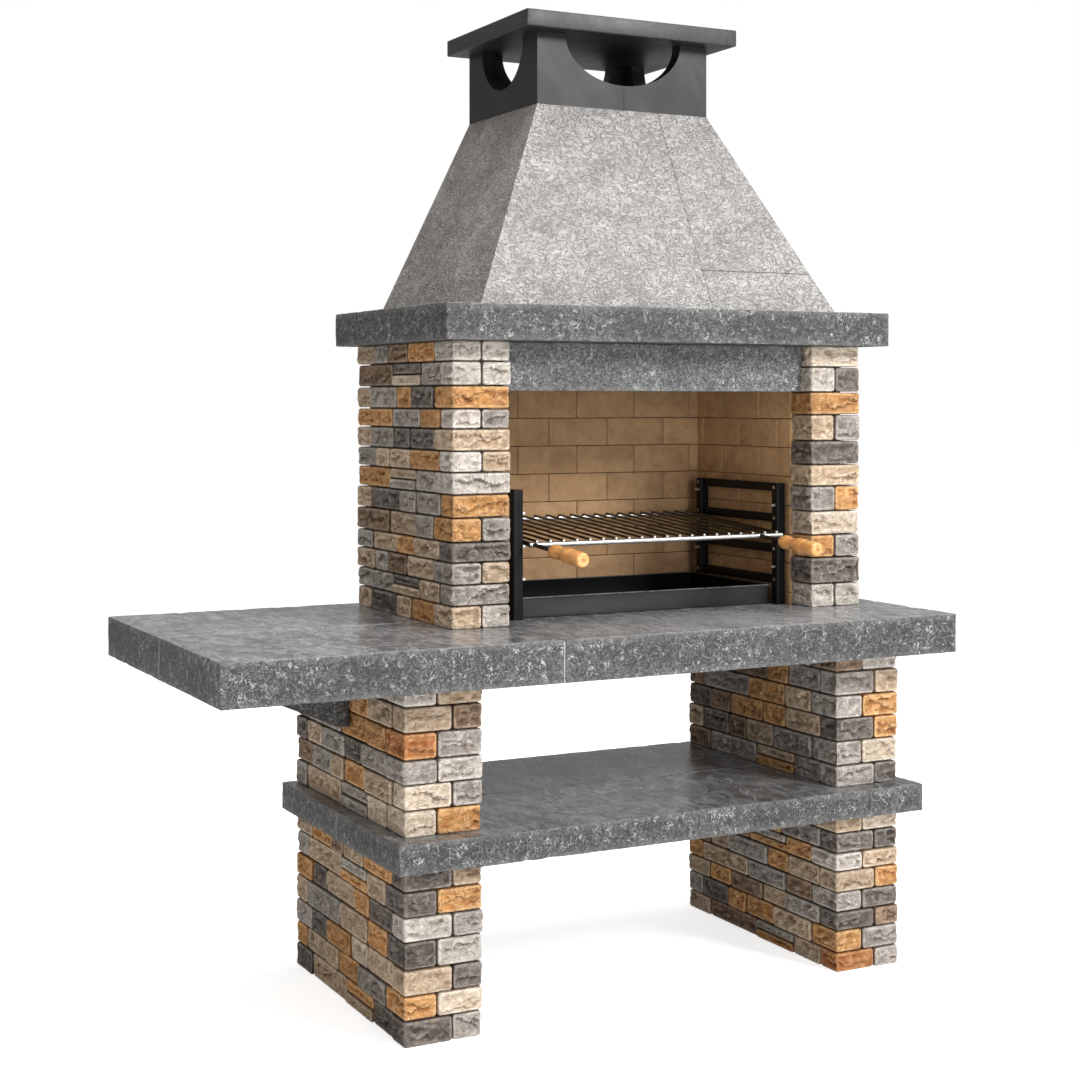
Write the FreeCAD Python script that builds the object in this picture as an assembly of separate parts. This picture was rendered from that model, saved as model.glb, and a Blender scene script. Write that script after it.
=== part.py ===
import FreeCAD, Part
import math
import os

# Masonry barbecue: two stone-faced piers carry a shelf and a worktop that runs out to the left,
# and on the worktop stand a stone-faced firebox, a granite hood and a chimney cap.
# Millimetres. X runs to the right, Y to the back, Z up.
# The origin is the middle of the worktop's outline, on the ground.

# Piers and slabs
PIER_WIDTH = 190.0
PIER_DEPTH = 695.0
PIER_SPACING = 1170.0
LOWER_PIER_HEIGHT = 395.0
UPPER_PIER_HEIGHT = 341.0
SHELF_THICKNESS = 68.0
SHELF_SIDE_OVERHANG = 36.0
SHELF_FRONT_OVERHANG = 56.0
SHELF_REAR_OVERHANG = 14.0
WORKTOP_THICKNESS = 96.0
WORKTOP_LEFT_OVERHANG = 466.0
WORKTOP_RIGHT_OVERHANG = 66.0
WORKTOP_FRONT_OVERHANG = 148.0
WORKTOP_REAR_OVERHANG = 67.0
SLAB_JOINT = 3.0
SLAB_ARRIS = 3.0

# Bracket under the worktop's long overhang
CORBEL_WIDTH = 150.0
CORBEL_REACH = 300.0
CORBEL_HEIGHT = 145.0
CORBEL_NOSE = 26.0
CORBEL_SETBACK = 330.0

# Split stone facing
FACING_THICKNESS = 35.0
STONE_JOINT = 3.0
STONE_ARRIS = 4.0
SHORT_RETURN = 72.0
LONG_RETURN = 108.0
FRONT_SHARES = {"S": 0.42, "L": 0.62}
CHEEK_SHARE = 0.51
# Runs of side stones: each place's share of the run's length, and its layers' shares of the course's height
ONE_LAYER = (1.0,)
TWO_LAYERS = (1.0, 1.0)
SIDE_PATTERNS = (
    ((3, ONE_LAYER), (2, ONE_LAYER), (4, ONE_LAYER), (2, ONE_LAYER)),
    ((2, ONE_LAYER), (3, TWO_LAYERS), (4, ONE_LAYER)),
    ((4, ONE_LAYER), (3, ONE_LAYER), (2, ONE_LAYER), (3, ONE_LAYER)),
    ((3, ONE_LAYER), (2, ONE_LAYER), (3, ONE_LAYER), (2, ONE_LAYER)),
    ((2, ONE_LAYER), (3, ONE_LAYER), (4, ONE_LAYER)),
)
LOWER_LEFT_COURSES = (1.05, 0.95, 1.0, 1.1, 0.95, 1.0, 0.95)
LOWER_RIGHT_COURSES = (1.0, 1.1, 0.95, 1.0, 1.05, 0.9, 1.0, 1.0)
UPPER_LEFT_COURSES = (1.05, 1.0, 0.95, 1.05, 1.0, 0.95)
UPPER_RIGHT_COURSES = (0.95, 1.05, 1.0, 1.0, 1.05, 0.95)
LEFT_CHEEK_COURSES = (1.05, 0.95, 1.0, 0.9, 1.1, 1.05, 1.0, 0.95, 1.0, 0.9, 1.05, 1.1, 0.95)
RIGHT_CHEEK_COURSES = (1.0, 1.1, 0.95, 1.0, 1.05, 0.9, 1.0, 1.1, 0.95, 1.05, 0.9)
# Fronts of the piers, bottom course first: L has the long stone on the left, S the short one
LOWER_LEFT_FRONTS = "LSLSLSL"
LOWER_RIGHT_FRONTS = "LSLSLSLS"
UPPER_LEFT_FRONTS = "SLSSLS"
UPPER_RIGHT_FRONTS = "LSLSLS"
# Fronts of the cheeks, bottom course first: P is a pair of stones, F is one stone over the full width
LEFT_CHEEK_FRONTS = "PFPFPFFPFPFPP"
RIGHT_CHEEK_FRONTS = "PFPFPFFPFPF"

# Firebox
FIREBOX_LEFT_INSET = 133.5
FIREBOX_RIGHT_INSET = 14.5
CHEEK_WIDTH = 150.0
CHEEK_HEIGHT = 670.0
CHEEK_FRONT_SETBACK = 274.0
CHEEK_REAR_SETBACK = 45.0
CHEEK_RETURN = 94.0
LINING_THICKNESS = 32.0
BACK_PANEL_THICKNESS = 12.0
BRICK_LENGTH = 177.0
BRICK_HEIGHT = 72.5
BRICK_JOINT = 3.0
BRICK_STARTS = (58.0, 144.0)
BOTTOM_BRICK_HEIGHT = 28.0
SHORTEST_BRICK = 25.0
LINTEL_HEIGHT = 117.0
LINTEL_THICKNESS = 60.0
LINTEL_SETBACK = 42.0

# Mantel, hood and chimney cap
MANTEL_THICKNESS = 85.0
MANTEL_SIDE_OVERHANG = 45.0
MANTEL_FRONT_OVERHANG = 66.0
SMOKE_LEDGE = 30.0
HOOD_HEIGHT = 517.0
HOOD_SIDE_SETBACK = 119.0
HOOD_FRONT_SETBACK = 69.0
HOOD_REAR_SETBACK = 20.0
HOOD_PANEL_DEPTH = 25.0
HOOD_SHELL_DEPTH = 35.0
HOOD_JOINT = 1.6
HOOD_JOINT_FOOT = 135.0
HOOD_JOINT_HEAD = 100.0
HOOD_JOINT_HEIGHT = 102.0
CAP_WIDTH = 498.0
CAP_DEPTH = 400.0
CAP_WALL = 40.0
CAP_HEIGHT = 181.0
CAP_SEAM = 0.8
ARCH_POST = 80.0
ARCH_DEPTH = 118.0
LID_THICKNESS = 42.0
LID_OVERHANG = 57.0
LID_REAR_OVERHANG = 20.0

# Rack uprights, rungs and lugs
RACK_SHIFT = 22.0
RACK_SIDE_GAP = 36.0
RACK_FRONT_SETBACK = 99.0
RACK_REAR_GAP = 54.0
RACK_HEIGHT = 315.0
POST_SIZE = 25.0
POST_WALL = 2.0
RUNG_COUNT = 4
RUNG_PITCH = 80.0
RUNG_HEIGHT = 22.0
RUNG_THICKNESS = 10.0
LUG_REACH = 10.0
LUG_WIDTH = 9.0
LUG_HEIGHT = 6.0
SCREW_HEAD_RADIUS = 4.5
SCREW_HEAD_HEIGHT = 2.5

# Cooking grate
GRATE_SLOPE = 4.0
GRATE_LEVEL = 183.0
GRATE_REACH = 25.0
GRATE_SIDE_GAP = 4.0
GRATE_REAR_GAP = 30.0
SEAT_CLEARANCE = 0.2
FRONT_BAR_RADIUS = 6.5
BAR_FLAT = 1.0
REAR_BAR_SIZE = 10.0
SIDE_BAR_WIDTH = 8.0
ROD_RADIUS = 3.0
ROD_COUNT = 20
ROD_MARGIN = 18.0
ROD_SIDES = 16
LEFT_HANDLE_INSET = 12.0
RIGHT_HANDLE_INSET = 66.0
HANDLE_ROD_RADIUS = 5.0
HANDLE_ROD_LENGTH = 91.0
HANDLE_LENGTH = 153.0
HANDLE_RADIUS = 19.0
HANDLE_SIDES = 24
HANDLE_TANG = 70.0
HANDLE_BORE_CLEARANCE = 0.05

# Charcoal tray
TRAY_SIDE_GAP = 3.0
TRAY_FRONT_SETBACK = 120.0
TRAY_REAR_GAP = 32.0
TRAY_HEIGHT = 51.0
TRAY_WALL = 3.0
TRAY_FLARE = 6.0
TRAY_RIM = 6.0

# Levels
shelf_z = LOWER_PIER_HEIGHT
upper_pier_z = shelf_z + SHELF_THICKNESS
worktop_z = upper_pier_z + UPPER_PIER_HEIGHT
deck_z = worktop_z + WORKTOP_THICKNESS
mantel_z = deck_z + CHEEK_HEIGHT
hood_z = mantel_z + MANTEL_THICKNESS
cap_z = hood_z + HOOD_HEIGHT
lid_z = cap_z + CAP_HEIGHT

# Plan positions
worktop_width = WORKTOP_LEFT_OVERHANG + PIER_SPACING + PIER_WIDTH + WORKTOP_RIGHT_OVERHANG
worktop_depth = WORKTOP_FRONT_OVERHANG + PIER_DEPTH + WORKTOP_REAR_OVERHANG
worktop_x0 = -worktop_width / 2
worktop_x1 = worktop_width / 2
worktop_y0 = -worktop_depth / 2
worktop_y1 = worktop_depth / 2
left_pier_x = worktop_x0 + WORKTOP_LEFT_OVERHANG
right_pier_x = left_pier_x + PIER_SPACING
pier_y0 = worktop_y0 + WORKTOP_FRONT_OVERHANG
pier_y1 = pier_y0 + PIER_DEPTH
fire_x0 = left_pier_x + PIER_WIDTH + FIREBOX_LEFT_INSET
fire_x1 = right_pier_x + FIREBOX_RIGHT_INSET
fire_axis = (fire_x0 + fire_x1) / 2
cheek_y0 = worktop_y0 + CHEEK_FRONT_SETBACK
cheek_y1 = worktop_y1 - CHEEK_REAR_SETBACK
panel_y = cheek_y1 - BACK_PANEL_THICKNESS
brick_y = panel_y - LINING_THICKNESS
lining_y = cheek_y0 + CHEEK_RETURN
lintel_y = cheek_y0 + LINTEL_SETBACK
mantel_x0 = fire_x0 - CHEEK_WIDTH - MANTEL_SIDE_OVERHANG
mantel_x1 = fire_x1 + CHEEK_WIDTH + MANTEL_SIDE_OVERHANG
mantel_y0 = cheek_y0 - MANTEL_FRONT_OVERHANG
mantel_y1 = worktop_y1
cap_x0 = fire_axis - CAP_WIDTH / 2
cap_x1 = fire_axis + CAP_WIDTH / 2
cap_y1 = mantel_y1 - HOOD_REAR_SETBACK
cap_y0 = cap_y1 - CAP_DEPTH
rack_axis = fire_axis + RACK_SHIFT
rack_half = (fire_x1 - fire_x0) / 2 - RACK_SIDE_GAP
rack_inner = rack_half - POST_SIZE
front_post_y = cheek_y0 + RACK_FRONT_SETBACK
rear_post_y = brick_y - RACK_REAR_GAP - POST_SIZE


def vector(x, y, z):
    """Point or direction in the shared frame."""
    return FreeCAD.Vector(x, y, z)


def block(low, high):
    """Upright box between two opposite corners."""
    size = [b - a for a, b in zip(low, high)]
    return Part.makeBox(*size, vector(*low))


def slab(low, high):
    """Box with its edges eased, as a sawn slab has them."""
    body = block(low, high)
    return body.makeChamfer(SLAB_ARRIS, body.Edges)


def extrusion(points, direction):
    """Solid swept from a flat outline."""
    face = Part.Face(Part.makePolygon(points + points[:1]))
    return face.extrude(direction)


def plan_solid(outline, z_low, z_high):
    """Upright solid with the given plan outline."""
    points = [vector(x, y, z_low) for x, y in outline]
    return extrusion(points, vector(0, 0, z_high - z_low))


def stacked_solid(*rings):
    """Solid through rings of corners given in the same order, closed at both ends."""
    faces = [Part.Face(Part.makePolygon(ring + ring[:1])) for ring in (rings[0], rings[-1])]
    for lower, upper in zip(rings, rings[1:]):
        for i in range(len(lower)):
            j = (i + 1) % len(lower)
            side = [lower[i], lower[j], upper[j], upper[i], lower[i]]
            faces.append(Part.Face(Part.makePolygon(side)))
    solid = Part.Solid(Part.Shell(faces))
    if solid.Volume < 0:
        solid.reverse()
    return solid


def save(name, *solids):
    """Write one sub-part, a single solid or a group of like solids."""
    shape = solids[0] if len(solids) == 1 else Part.makeCompound(list(solids))
    shape.exportStep(f"parts/{name}.step")


# Split stone facing

def course_levels(weights, z_low, height):
    """Bottom and top of every course, bottom course first."""
    stone_height = height - STONE_JOINT * (len(weights) - 1)
    levels = []
    z = z_low
    for weight in weights:
        top = z + stone_height * weight / sum(weights)
        levels.append((z, top))
        z = top + STONE_JOINT
    return levels


def corner_stone(corner, inward, legs, levels):
    """Stone that turns a corner, with one leg along X and one along Y."""
    across, along = legs
    t = FACING_THICKNESS
    c = STONE_ARRIS
    outline = [(c, 0), (across, 0), (across, t), (t, t), (t, along), (0, along), (0, c)]
    placed = [(corner[0] + inward[0] * u, corner[1] + inward[1] * v) for u, v in outline]
    return plan_solid(placed, *levels)


def side_stone(face_x, inward, y_low, y_high, levels):
    """Stone set in a side face, flat on the core behind it."""
    x0, x1 = sorted((face_x, face_x + inward * FACING_THICKNESS))
    return block((x0, y_low, levels[0]), (x1, y_high, levels[1]))


def side_run(face_x, inward, y_low, y_high, pattern, levels):
    """Row of stones that fills a side face between two corner stones, some of them in thin layers."""
    free = y_high - y_low - STONE_JOINT * (len(pattern) - 1)
    whole = sum(share for share, layers in pattern)
    stones = []
    y = y_low
    for share, layers in pattern:
        end = y + free * share / whole
        for layer in course_levels(layers, levels[0], levels[1] - levels[0]):
            stones.append(side_stone(face_x, inward, y, end, layer))
        y = end + STONE_JOINT
    return stones


def pier_course(x0, course, front, levels):
    """One course of stones right round a pier."""
    x1 = x0 + PIER_WIDTH
    left_leg = (PIER_WIDTH - STONE_JOINT) * FRONT_SHARES[front]
    right_leg = PIER_WIDTH - STONE_JOINT - left_leg
    returns = (SHORT_RETURN, LONG_RETURN) if front == "L" else (LONG_RETURN, SHORT_RETURN)
    stones = []
    for face_x, inward, front_leg, back_leg, front_return in (
            (x0, 1, left_leg, right_leg, returns[0]), (x1, -1, right_leg, left_leg, returns[1])):
        back_return = sum(returns) - front_return
        stones.append(corner_stone((face_x, pier_y0), (inward, 1), (front_leg, front_return), levels))
        stones.append(corner_stone((face_x, pier_y1), (inward, -1), (back_leg, back_return), levels))
        pattern = SIDE_PATTERNS[(course + (inward > 0)) % len(SIDE_PATTERNS)]
        stones += side_run(face_x, inward, pier_y0 + front_return + STONE_JOINT,
                           pier_y1 - back_return - STONE_JOINT, pattern, levels)
    return stones


def pier(name, x0, z_low, height, weights, fronts):
    """Concrete core with its stone facing."""
    t = FACING_THICKNESS
    save(f"{name}_core", block((x0 + t, pier_y0 + t, z_low),
                               (x0 + PIER_WIDTH - t, pier_y1 - t, z_low + height)))
    stones = []
    for course, levels in enumerate(course_levels(weights, z_low, height)):
        stones += pier_course(x0, course, fronts[course], levels)
    save(f"{name}_stones", *stones)


def return_stone(inner_x, inward, front_leg, levels):
    """Front stone that turns into the firebox and covers the cheek's inner edge."""
    t = FACING_THICKNESS
    c = STONE_ARRIS
    outline = [(c, 0), (front_leg, 0), (front_leg, t), (LINING_THICKNESS, t),
               (LINING_THICKNESS, CHEEK_RETURN), (0, CHEEK_RETURN), (0, c)]
    placed = [(inner_x + inward * u, cheek_y0 + v) for u, v in outline]
    return plan_solid(placed, *levels)


def bridging_stone(outer_x, inward, outer_return, levels):
    """Front stone as wide as the cheek, turning back on both sides."""
    t = FACING_THICKNESS
    c = STONE_ARRIS
    w = CHEEK_WIDTH
    outline = [(c, 0), (w - c, 0), (w, c), (w, CHEEK_RETURN), (w - LINING_THICKNESS, CHEEK_RETURN),
               (w - LINING_THICKNESS, t), (t, t), (t, outer_return), (0, outer_return), (0, c)]
    placed = [(outer_x + inward * u, cheek_y0 + v) for u, v in outline]
    return plan_solid(placed, *levels)


def cheek_course(outer_x, inner_x, inward, course, front, levels):
    """One course of a cheek: the front, the outer side and the inner return."""
    outer_return = SHORT_RETURN if course % 2 else LONG_RETURN
    stones = []
    if front == "F":
        stones.append(bridging_stone(outer_x, inward, outer_return, levels))
    else:
        outer_leg = (CHEEK_WIDTH - STONE_JOINT) * CHEEK_SHARE
        inner_leg = CHEEK_WIDTH - STONE_JOINT - outer_leg
        stones.append(corner_stone((outer_x, cheek_y0), (inward, 1), (outer_leg, outer_return), levels))
        stones.append(return_stone(inner_x, -inward, inner_leg, levels))
    pattern = SIDE_PATTERNS[course % len(SIDE_PATTERNS)]
    stones += side_run(outer_x, inward, cheek_y0 + outer_return + STONE_JOINT, cheek_y1, pattern, levels)
    return stones


def cheek(name, outer_x, inner_x, weights, fronts):
    """Side of the firebox: a core faced with stone outside and lined with brick inside."""
    inward = 1 if inner_x > outer_x else -1
    core_x = sorted((outer_x + inward * FACING_THICKNESS, inner_x - inward * LINING_THICKNESS))
    save(f"{name}_core", block((core_x[0], cheek_y0 + FACING_THICKNESS, deck_z),
                               (core_x[1], cheek_y1, mantel_z)))
    stones = []
    for course, levels in enumerate(course_levels(weights, deck_z, CHEEK_HEIGHT)):
        stones += cheek_course(outer_x, inner_x, inward, course, fronts[course], levels)
    save(f"{name}_stones", *stones)


# Firebrick lining

def brick_spans(length, first):
    """Start and end of each brick in one course of running bond that starts with a cut brick."""
    spans = []
    start = 0.0
    end = first
    while length - end > SHORTEST_BRICK + BRICK_JOINT:
        spans.append((start, end))
        start = end + BRICK_JOINT
        end = start + BRICK_LENGTH
    spans.append((start, length))
    return spans


def brick_courses():
    """Bottom and top of each brick course: a cut course, whole courses and a cut course under the mantel."""
    courses = []
    start = deck_z
    end = deck_z + BOTTOM_BRICK_HEIGHT
    while mantel_z - end > SHORTEST_BRICK + BRICK_JOINT:
        courses.append((start, end))
        start = end + BRICK_JOINT
        end = start + BRICK_HEIGHT
    courses.append((start, mantel_z))
    return courses


def brick_wall(origin, along_x, length, thickness):
    """Wall of bricks one brick thick, running along X or along Y from its origin."""
    bricks = []
    for course, (z_low, z_high) in enumerate(brick_courses()):
        for start, end in brick_spans(length, BRICK_STARTS[course % 2]):
            if along_x:
                low = (origin[0] + start, origin[1], z_low)
                high = (origin[0] + end, origin[1] + thickness, z_high)
            else:
                low = (origin[0], origin[1] + start, z_low)
                high = (origin[0] + thickness, origin[1] + end, z_high)
            bricks.append(block(low, high))
    return bricks


def firebox_lining():
    """Back panel, three brick linings and the lintel across the mouth."""
    core_x0 = fire_x0 - LINING_THICKNESS
    core_x1 = fire_x1 + LINING_THICKNESS
    save("firebox_back_panel", block((core_x0, panel_y, deck_z), (core_x1, cheek_y1, mantel_z)))
    save("back_firebricks", *brick_wall((core_x0, brick_y), True, core_x1 - core_x0, LINING_THICKNESS))
    side_length = brick_y - lining_y
    save("left_firebricks", *brick_wall((core_x0, lining_y), False, side_length, LINING_THICKNESS))
    save("right_firebricks", *brick_wall((fire_x1, lining_y), False, side_length, LINING_THICKNESS))
    save("lintel", slab((fire_x0, lintel_y, mantel_z - LINTEL_HEIGHT),
                        (fire_x1, lintel_y + LINTEL_THICKNESS, mantel_z)))


# Slabs and bracket

def split_slab(name, x0, x1, y0, y1, z_low, thickness, cuts):
    """Front and rear rows of slabs with grouted joints between them."""
    z_high = z_low + thickness
    middle = (y0 + y1) / 2
    half = SLAB_JOINT / 2
    rows = (("front", y0, middle - half), ("rear", middle + half, y1))
    edges = [x0] + [edge for cut in cuts for edge in (cut - half, cut + half)] + [x1]
    sides = ("left", "right") if cuts else ("",)
    grout = [block((x0, middle - half, z_low), (x1, middle + half, z_high - SLAB_ARRIS))]
    for row, row_y0, row_y1 in rows:
        for i, side in enumerate(sides):
            node = "_".join(word for word in (name, row, side, "slab") if word)
            save(node, slab((edges[2 * i], row_y0, z_low), (edges[2 * i + 1], row_y1, z_high)))
        for cut in cuts:
            grout.append(block((cut - half, row_y0 + SLAB_ARRIS, z_low),
                               (cut + half, row_y1, z_high - SLAB_ARRIS)))
    save(f"{name}_grout", *grout)


def corbel():
    """Stone bracket under the overhang, deepest against the pier."""
    y0 = pier_y0 + CORBEL_SETBACK
    foot = worktop_z - CORBEL_HEIGHT
    tip_x = left_pier_x - CORBEL_REACH
    outline = [(left_pier_x, worktop_z), (tip_x, worktop_z), (tip_x, worktop_z - CORBEL_NOSE),
               (left_pier_x - CORBEL_NOSE, foot), (left_pier_x, foot)]
    points = [vector(x, y0, z) for x, z in outline]
    save("corbel", extrusion(points, vector(0, CORBEL_WIDTH, 0)))


def mantel():
    """Slab over the firebox with the smoke opening through it."""
    plate = slab((mantel_x0, mantel_y0, mantel_z), (mantel_x1, mantel_y1, hood_z))
    opening = block((fire_x0 + SMOKE_LEDGE, lintel_y + LINTEL_THICKNESS, mantel_z),
                    (fire_x1 - SMOKE_LEDGE, brick_y - SMOKE_LEDGE, hood_z))
    save("mantel", plate.cut(opening))


# Hood and chimney cap

def hood_ring(inset, top):
    """Four corners of the hood at its foot or head, drawn in all round by the inset."""
    if top:
        x0, x1, y0, y1, z = cap_x0, cap_x1, cap_y0, cap_y1, cap_z
    else:
        x0, x1, z = mantel_x0 + HOOD_SIDE_SETBACK, mantel_x1 - HOOD_SIDE_SETBACK, hood_z
        y0, y1 = mantel_y0 + HOOD_FRONT_SETBACK, mantel_y1 - HOOD_REAR_SETBACK
    return [vector(x0 + inset, y0 + inset, z), vector(x1 - inset, y0 + inset, z),
            vector(x1 - inset, y1 - inset, z), vector(x0 + inset, y1 - inset, z)]


def hood_panel(side):
    """One face of the hood, mitred to its neighbours: 0 front, 1 right, 2 back, 3 left."""
    after = (side + 1) % 4
    rings = []
    for top in (False, True):
        outer = hood_ring(0.0, top)
        inner = hood_ring(HOOD_PANEL_DEPTH, top)
        rings.append([outer[side], outer[after], inner[after], inner[side]])
    return stacked_solid(*rings)


def front_cutter(outline):
    """Prism through the hood's front that holds one panel's outline in X and Z."""
    points = [vector(x, mantel_y0, z) for x, z in outline]
    return extrusion(points, vector(0, mantel_y1 - mantel_y0, 0))


def hood():
    """Granite panels on a cast inner shell, with the front laid in three pieces."""
    front = hood_panel(0)
    foot = fire_axis + HOOD_JOINT_FOOT
    head = fire_axis + HOOD_JOINT_HEAD
    half = HOOD_JOINT / 2
    break_z = hood_z + HOOD_JOINT_HEIGHT
    lean = (head - foot) / HOOD_HEIGHT
    break_x = foot + lean * HOOD_JOINT_HEIGHT
    left = [(mantel_x0, hood_z), (foot - half, hood_z), (head - half, cap_z), (mantel_x0, cap_z)]
    low = [(foot + half, hood_z), (mantel_x1, hood_z), (mantel_x1, break_z - half),
           (break_x + half - lean * half, break_z - half)]
    high = [(break_x + half + lean * half, break_z + half), (mantel_x1, break_z + half),
            (mantel_x1, cap_z), (head + half, cap_z)]
    save("hood_front_left_panel", front.common(front_cutter(left)))
    save("hood_front_lower_panel", front.common(front_cutter(low)))
    save("hood_front_upper_panel", front.common(front_cutter(high)))
    save("hood_right_panel", hood_panel(1))
    save("hood_back_panel", hood_panel(2))
    save("hood_left_panel", hood_panel(3))
    shell = stacked_solid(*[hood_ring(HOOD_PANEL_DEPTH, top) for top in (False, True)])
    flue = stacked_solid(*[hood_ring(HOOD_PANEL_DEPTH + HOOD_SHELL_DEPTH, top) for top in (False, True)])
    save("hood_inner_shell", shell.cut(flue))


def arch_cutter(width, centre, along_x, reach):
    """Half-elliptical cut for a smoke outlet, open under the lid."""
    half = width / 2 - ARCH_POST
    minor, major = sorted((half, ARCH_DEPTH))
    origin = vector(0, 0, 0)
    face = Part.Face(Part.Wire(Part.Ellipse(origin, major, minor).toShape()))
    if half < ARCH_DEPTH:
        face.rotate(origin, vector(0, 0, 1), 90)
    face.rotate(origin, vector(1, 0, 0), 90)
    if along_x:
        face.rotate(origin, vector(0, 0, 1), 90)
    direction = vector(1, 0, 0) if along_x else vector(0, 1, 0)
    face.translate(vector(centre[0], centre[1], lid_z) - direction * reach / 2)
    return face.extrude(direction * reach)


def chimney_cap():
    """Collar in two halves with an arch in every side, and the flat lid on it."""
    collar = block((cap_x0, cap_y0, cap_z), (cap_x1, cap_y1, lid_z))
    collar = collar.cut(block((cap_x0 + CAP_WALL, cap_y0 + CAP_WALL, cap_z),
                              (cap_x1 - CAP_WALL, cap_y1 - CAP_WALL, lid_z)))
    centre = (fire_axis, (cap_y0 + cap_y1) / 2)
    reach = 2 * (CAP_WIDTH + CAP_DEPTH)
    collar = collar.cut(arch_cutter(CAP_WIDTH, centre, False, reach))
    collar = collar.cut(arch_cutter(CAP_DEPTH, centre, True, reach))
    seam = CAP_SEAM / 2
    save("cap_left_half", collar.common(block((cap_x0, cap_y0, cap_z), (fire_axis - seam, cap_y1, lid_z))))
    save("cap_right_half", collar.common(block((fire_axis + seam, cap_y0, cap_z), (cap_x1, cap_y1, lid_z))))
    save("cap_lid", slab((cap_x0 - LID_OVERHANG, cap_y0 - LID_OVERHANG, lid_z),
                         (cap_x1 + LID_OVERHANG, cap_y1 + LID_REAR_OVERHANG, lid_z + LID_THICKNESS)))


# Racks for the grate

def post(x0, y0):
    """Square steel tube standing on the worktop, capped at its top."""
    tube = block((x0, y0, deck_z), (x0 + POST_SIZE, y0 + POST_SIZE, deck_z + RACK_HEIGHT))
    bore = block((x0 + POST_WALL, y0 + POST_WALL, deck_z),
                 (x0 + POST_SIZE - POST_WALL, y0 + POST_SIZE - POST_WALL, deck_z + RACK_HEIGHT - POST_WALL))
    return tube.cut(bore)


def slope_rise(y):
    """How far the grate has risen at y above its front bar."""
    return (y - grate_y) * math.tan(math.radians(GRATE_SLOPE))


def lug(face_x, inward, post_y, level):
    """Short welded tab whose top lies in the grate's slope."""
    middle_y = post_y + POST_SIZE / 2
    seat = lug_seat / math.cos(math.radians(GRATE_SLOPE))
    top = deck_z + GRATE_LEVEL + slope_rise(middle_y) - seat + level * RUNG_PITCH
    x0 = min(face_x, face_x + inward * LUG_REACH)
    tab = block((x0, middle_y - LUG_WIDTH / 2, top - LUG_HEIGHT), (x0 + LUG_REACH, middle_y + LUG_WIDTH / 2, top))
    tab.rotate(vector(face_x, middle_y, top), vector(1, 0, 0), GRATE_SLOPE)
    return tab


def screw(face_x, inward, post_y, z):
    """Hexagon head of a fixing screw on the inner face of a post."""
    points = []
    for i in range(6):
        angle = math.radians(60 * i)
        points.append(vector(face_x, post_y + POST_SIZE / 2 + SCREW_HEAD_RADIUS * math.cos(angle),
                             z + SCREW_HEAD_RADIUS * math.sin(angle)))
    return extrusion(points, vector(inward * SCREW_HEAD_HEIGHT, 0, 0))


def rack(name, side):
    """One rack: two posts, the rungs between them, the lugs and the screw heads."""
    outer_x = rack_axis + side * rack_half
    face_x = rack_axis + side * rack_inner
    x0 = min(outer_x, face_x)
    save(f"{name}_rack_front_post", post(x0, front_post_y))
    save(f"{name}_rack_rear_post", post(x0, rear_post_y))
    rung_x = x0 + (POST_SIZE - RUNG_THICKNESS) / 2
    rungs = []
    screws = []
    for i in range(RUNG_COUNT):
        top = deck_z + RACK_HEIGHT - i * RUNG_PITCH
        rungs.append(block((rung_x, front_post_y + POST_SIZE, top - RUNG_HEIGHT),
                           (rung_x + RUNG_THICKNESS, rear_post_y, top)))
        for post_y in (front_post_y, rear_post_y):
            screws.append(screw(face_x, -side, post_y, top - RUNG_HEIGHT / 2))
    save(f"{name}_rack_rungs", *rungs)
    save(f"{name}_rack_screws", *screws)
    save(f"{name}_rack_lugs", *[lug(face_x, -side, post_y, level)
                                for post_y in (front_post_y, rear_post_y) for level in (-1, 0, 1)])


# Cooking grate, built level about its front bar and then tilted to its slope

grate_y = front_post_y - GRATE_REACH
grate_half = rack_inner - GRATE_SIDE_GAP
grate_depth = brick_y - GRATE_REAR_GAP - grate_y
side_bar_top = FRONT_BAR_RADIUS - BAR_FLAT
lug_seat = REAR_BAR_SIZE - side_bar_top + SEAT_CLEARANCE


def tilted(solid):
    """The grate's piece set at its slope and moved to its place."""
    solid.rotate(vector(0, 0, 0), vector(1, 0, 0), GRATE_SLOPE)
    solid.translate(vector(rack_axis, grate_y, deck_z + GRATE_LEVEL))
    return solid


def front_bar():
    """Bright round bar with a flat on top for the rods."""
    bar = Part.makeCylinder(FRONT_BAR_RADIUS, 2 * grate_half, vector(-grate_half, 0, 0), vector(1, 0, 0))
    above = block((-grate_half, -FRONT_BAR_RADIUS, side_bar_top),
                  (grate_half, FRONT_BAR_RADIUS, FRONT_BAR_RADIUS + BAR_FLAT))
    return bar.cut(above)


def handle_profile():
    """Half outline of a handle: bulb, waist, swell and blunt end.

    Each point is a share of the handle's length and of its radius.
    """
    return ((0.0, 0.58), (0.06, 0.86), (0.15, 0.93), (0.33, 0.70), (0.52, 0.98), (0.90, 1.0), (1.0, 0.88))


def section(radius, sides, y):
    """Corners of a many-sided section of a round piece that runs along Y."""
    turns = [2 * math.pi * i / sides for i in range(sides)]
    return [vector(radius * math.cos(turn), y, radius * math.sin(turn)) for turn in turns]


def handle(x):
    """Wooden handle with the blind hole for its rod."""
    body = stacked_solid(*[section(HANDLE_RADIUS * share, HANDLE_SIDES, -HANDLE_LENGTH * along)
                           for along, share in handle_profile()])
    bore = Part.makeCylinder(HANDLE_ROD_RADIUS + HANDLE_BORE_CLEARANCE, HANDLE_TANG,
                             vector(0, 0, 0), vector(0, -1, 0))
    turned = body.cut(bore)
    turned.translate(vector(x, -FRONT_BAR_RADIUS - HANDLE_ROD_LENGTH, 0))
    return turned


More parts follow.
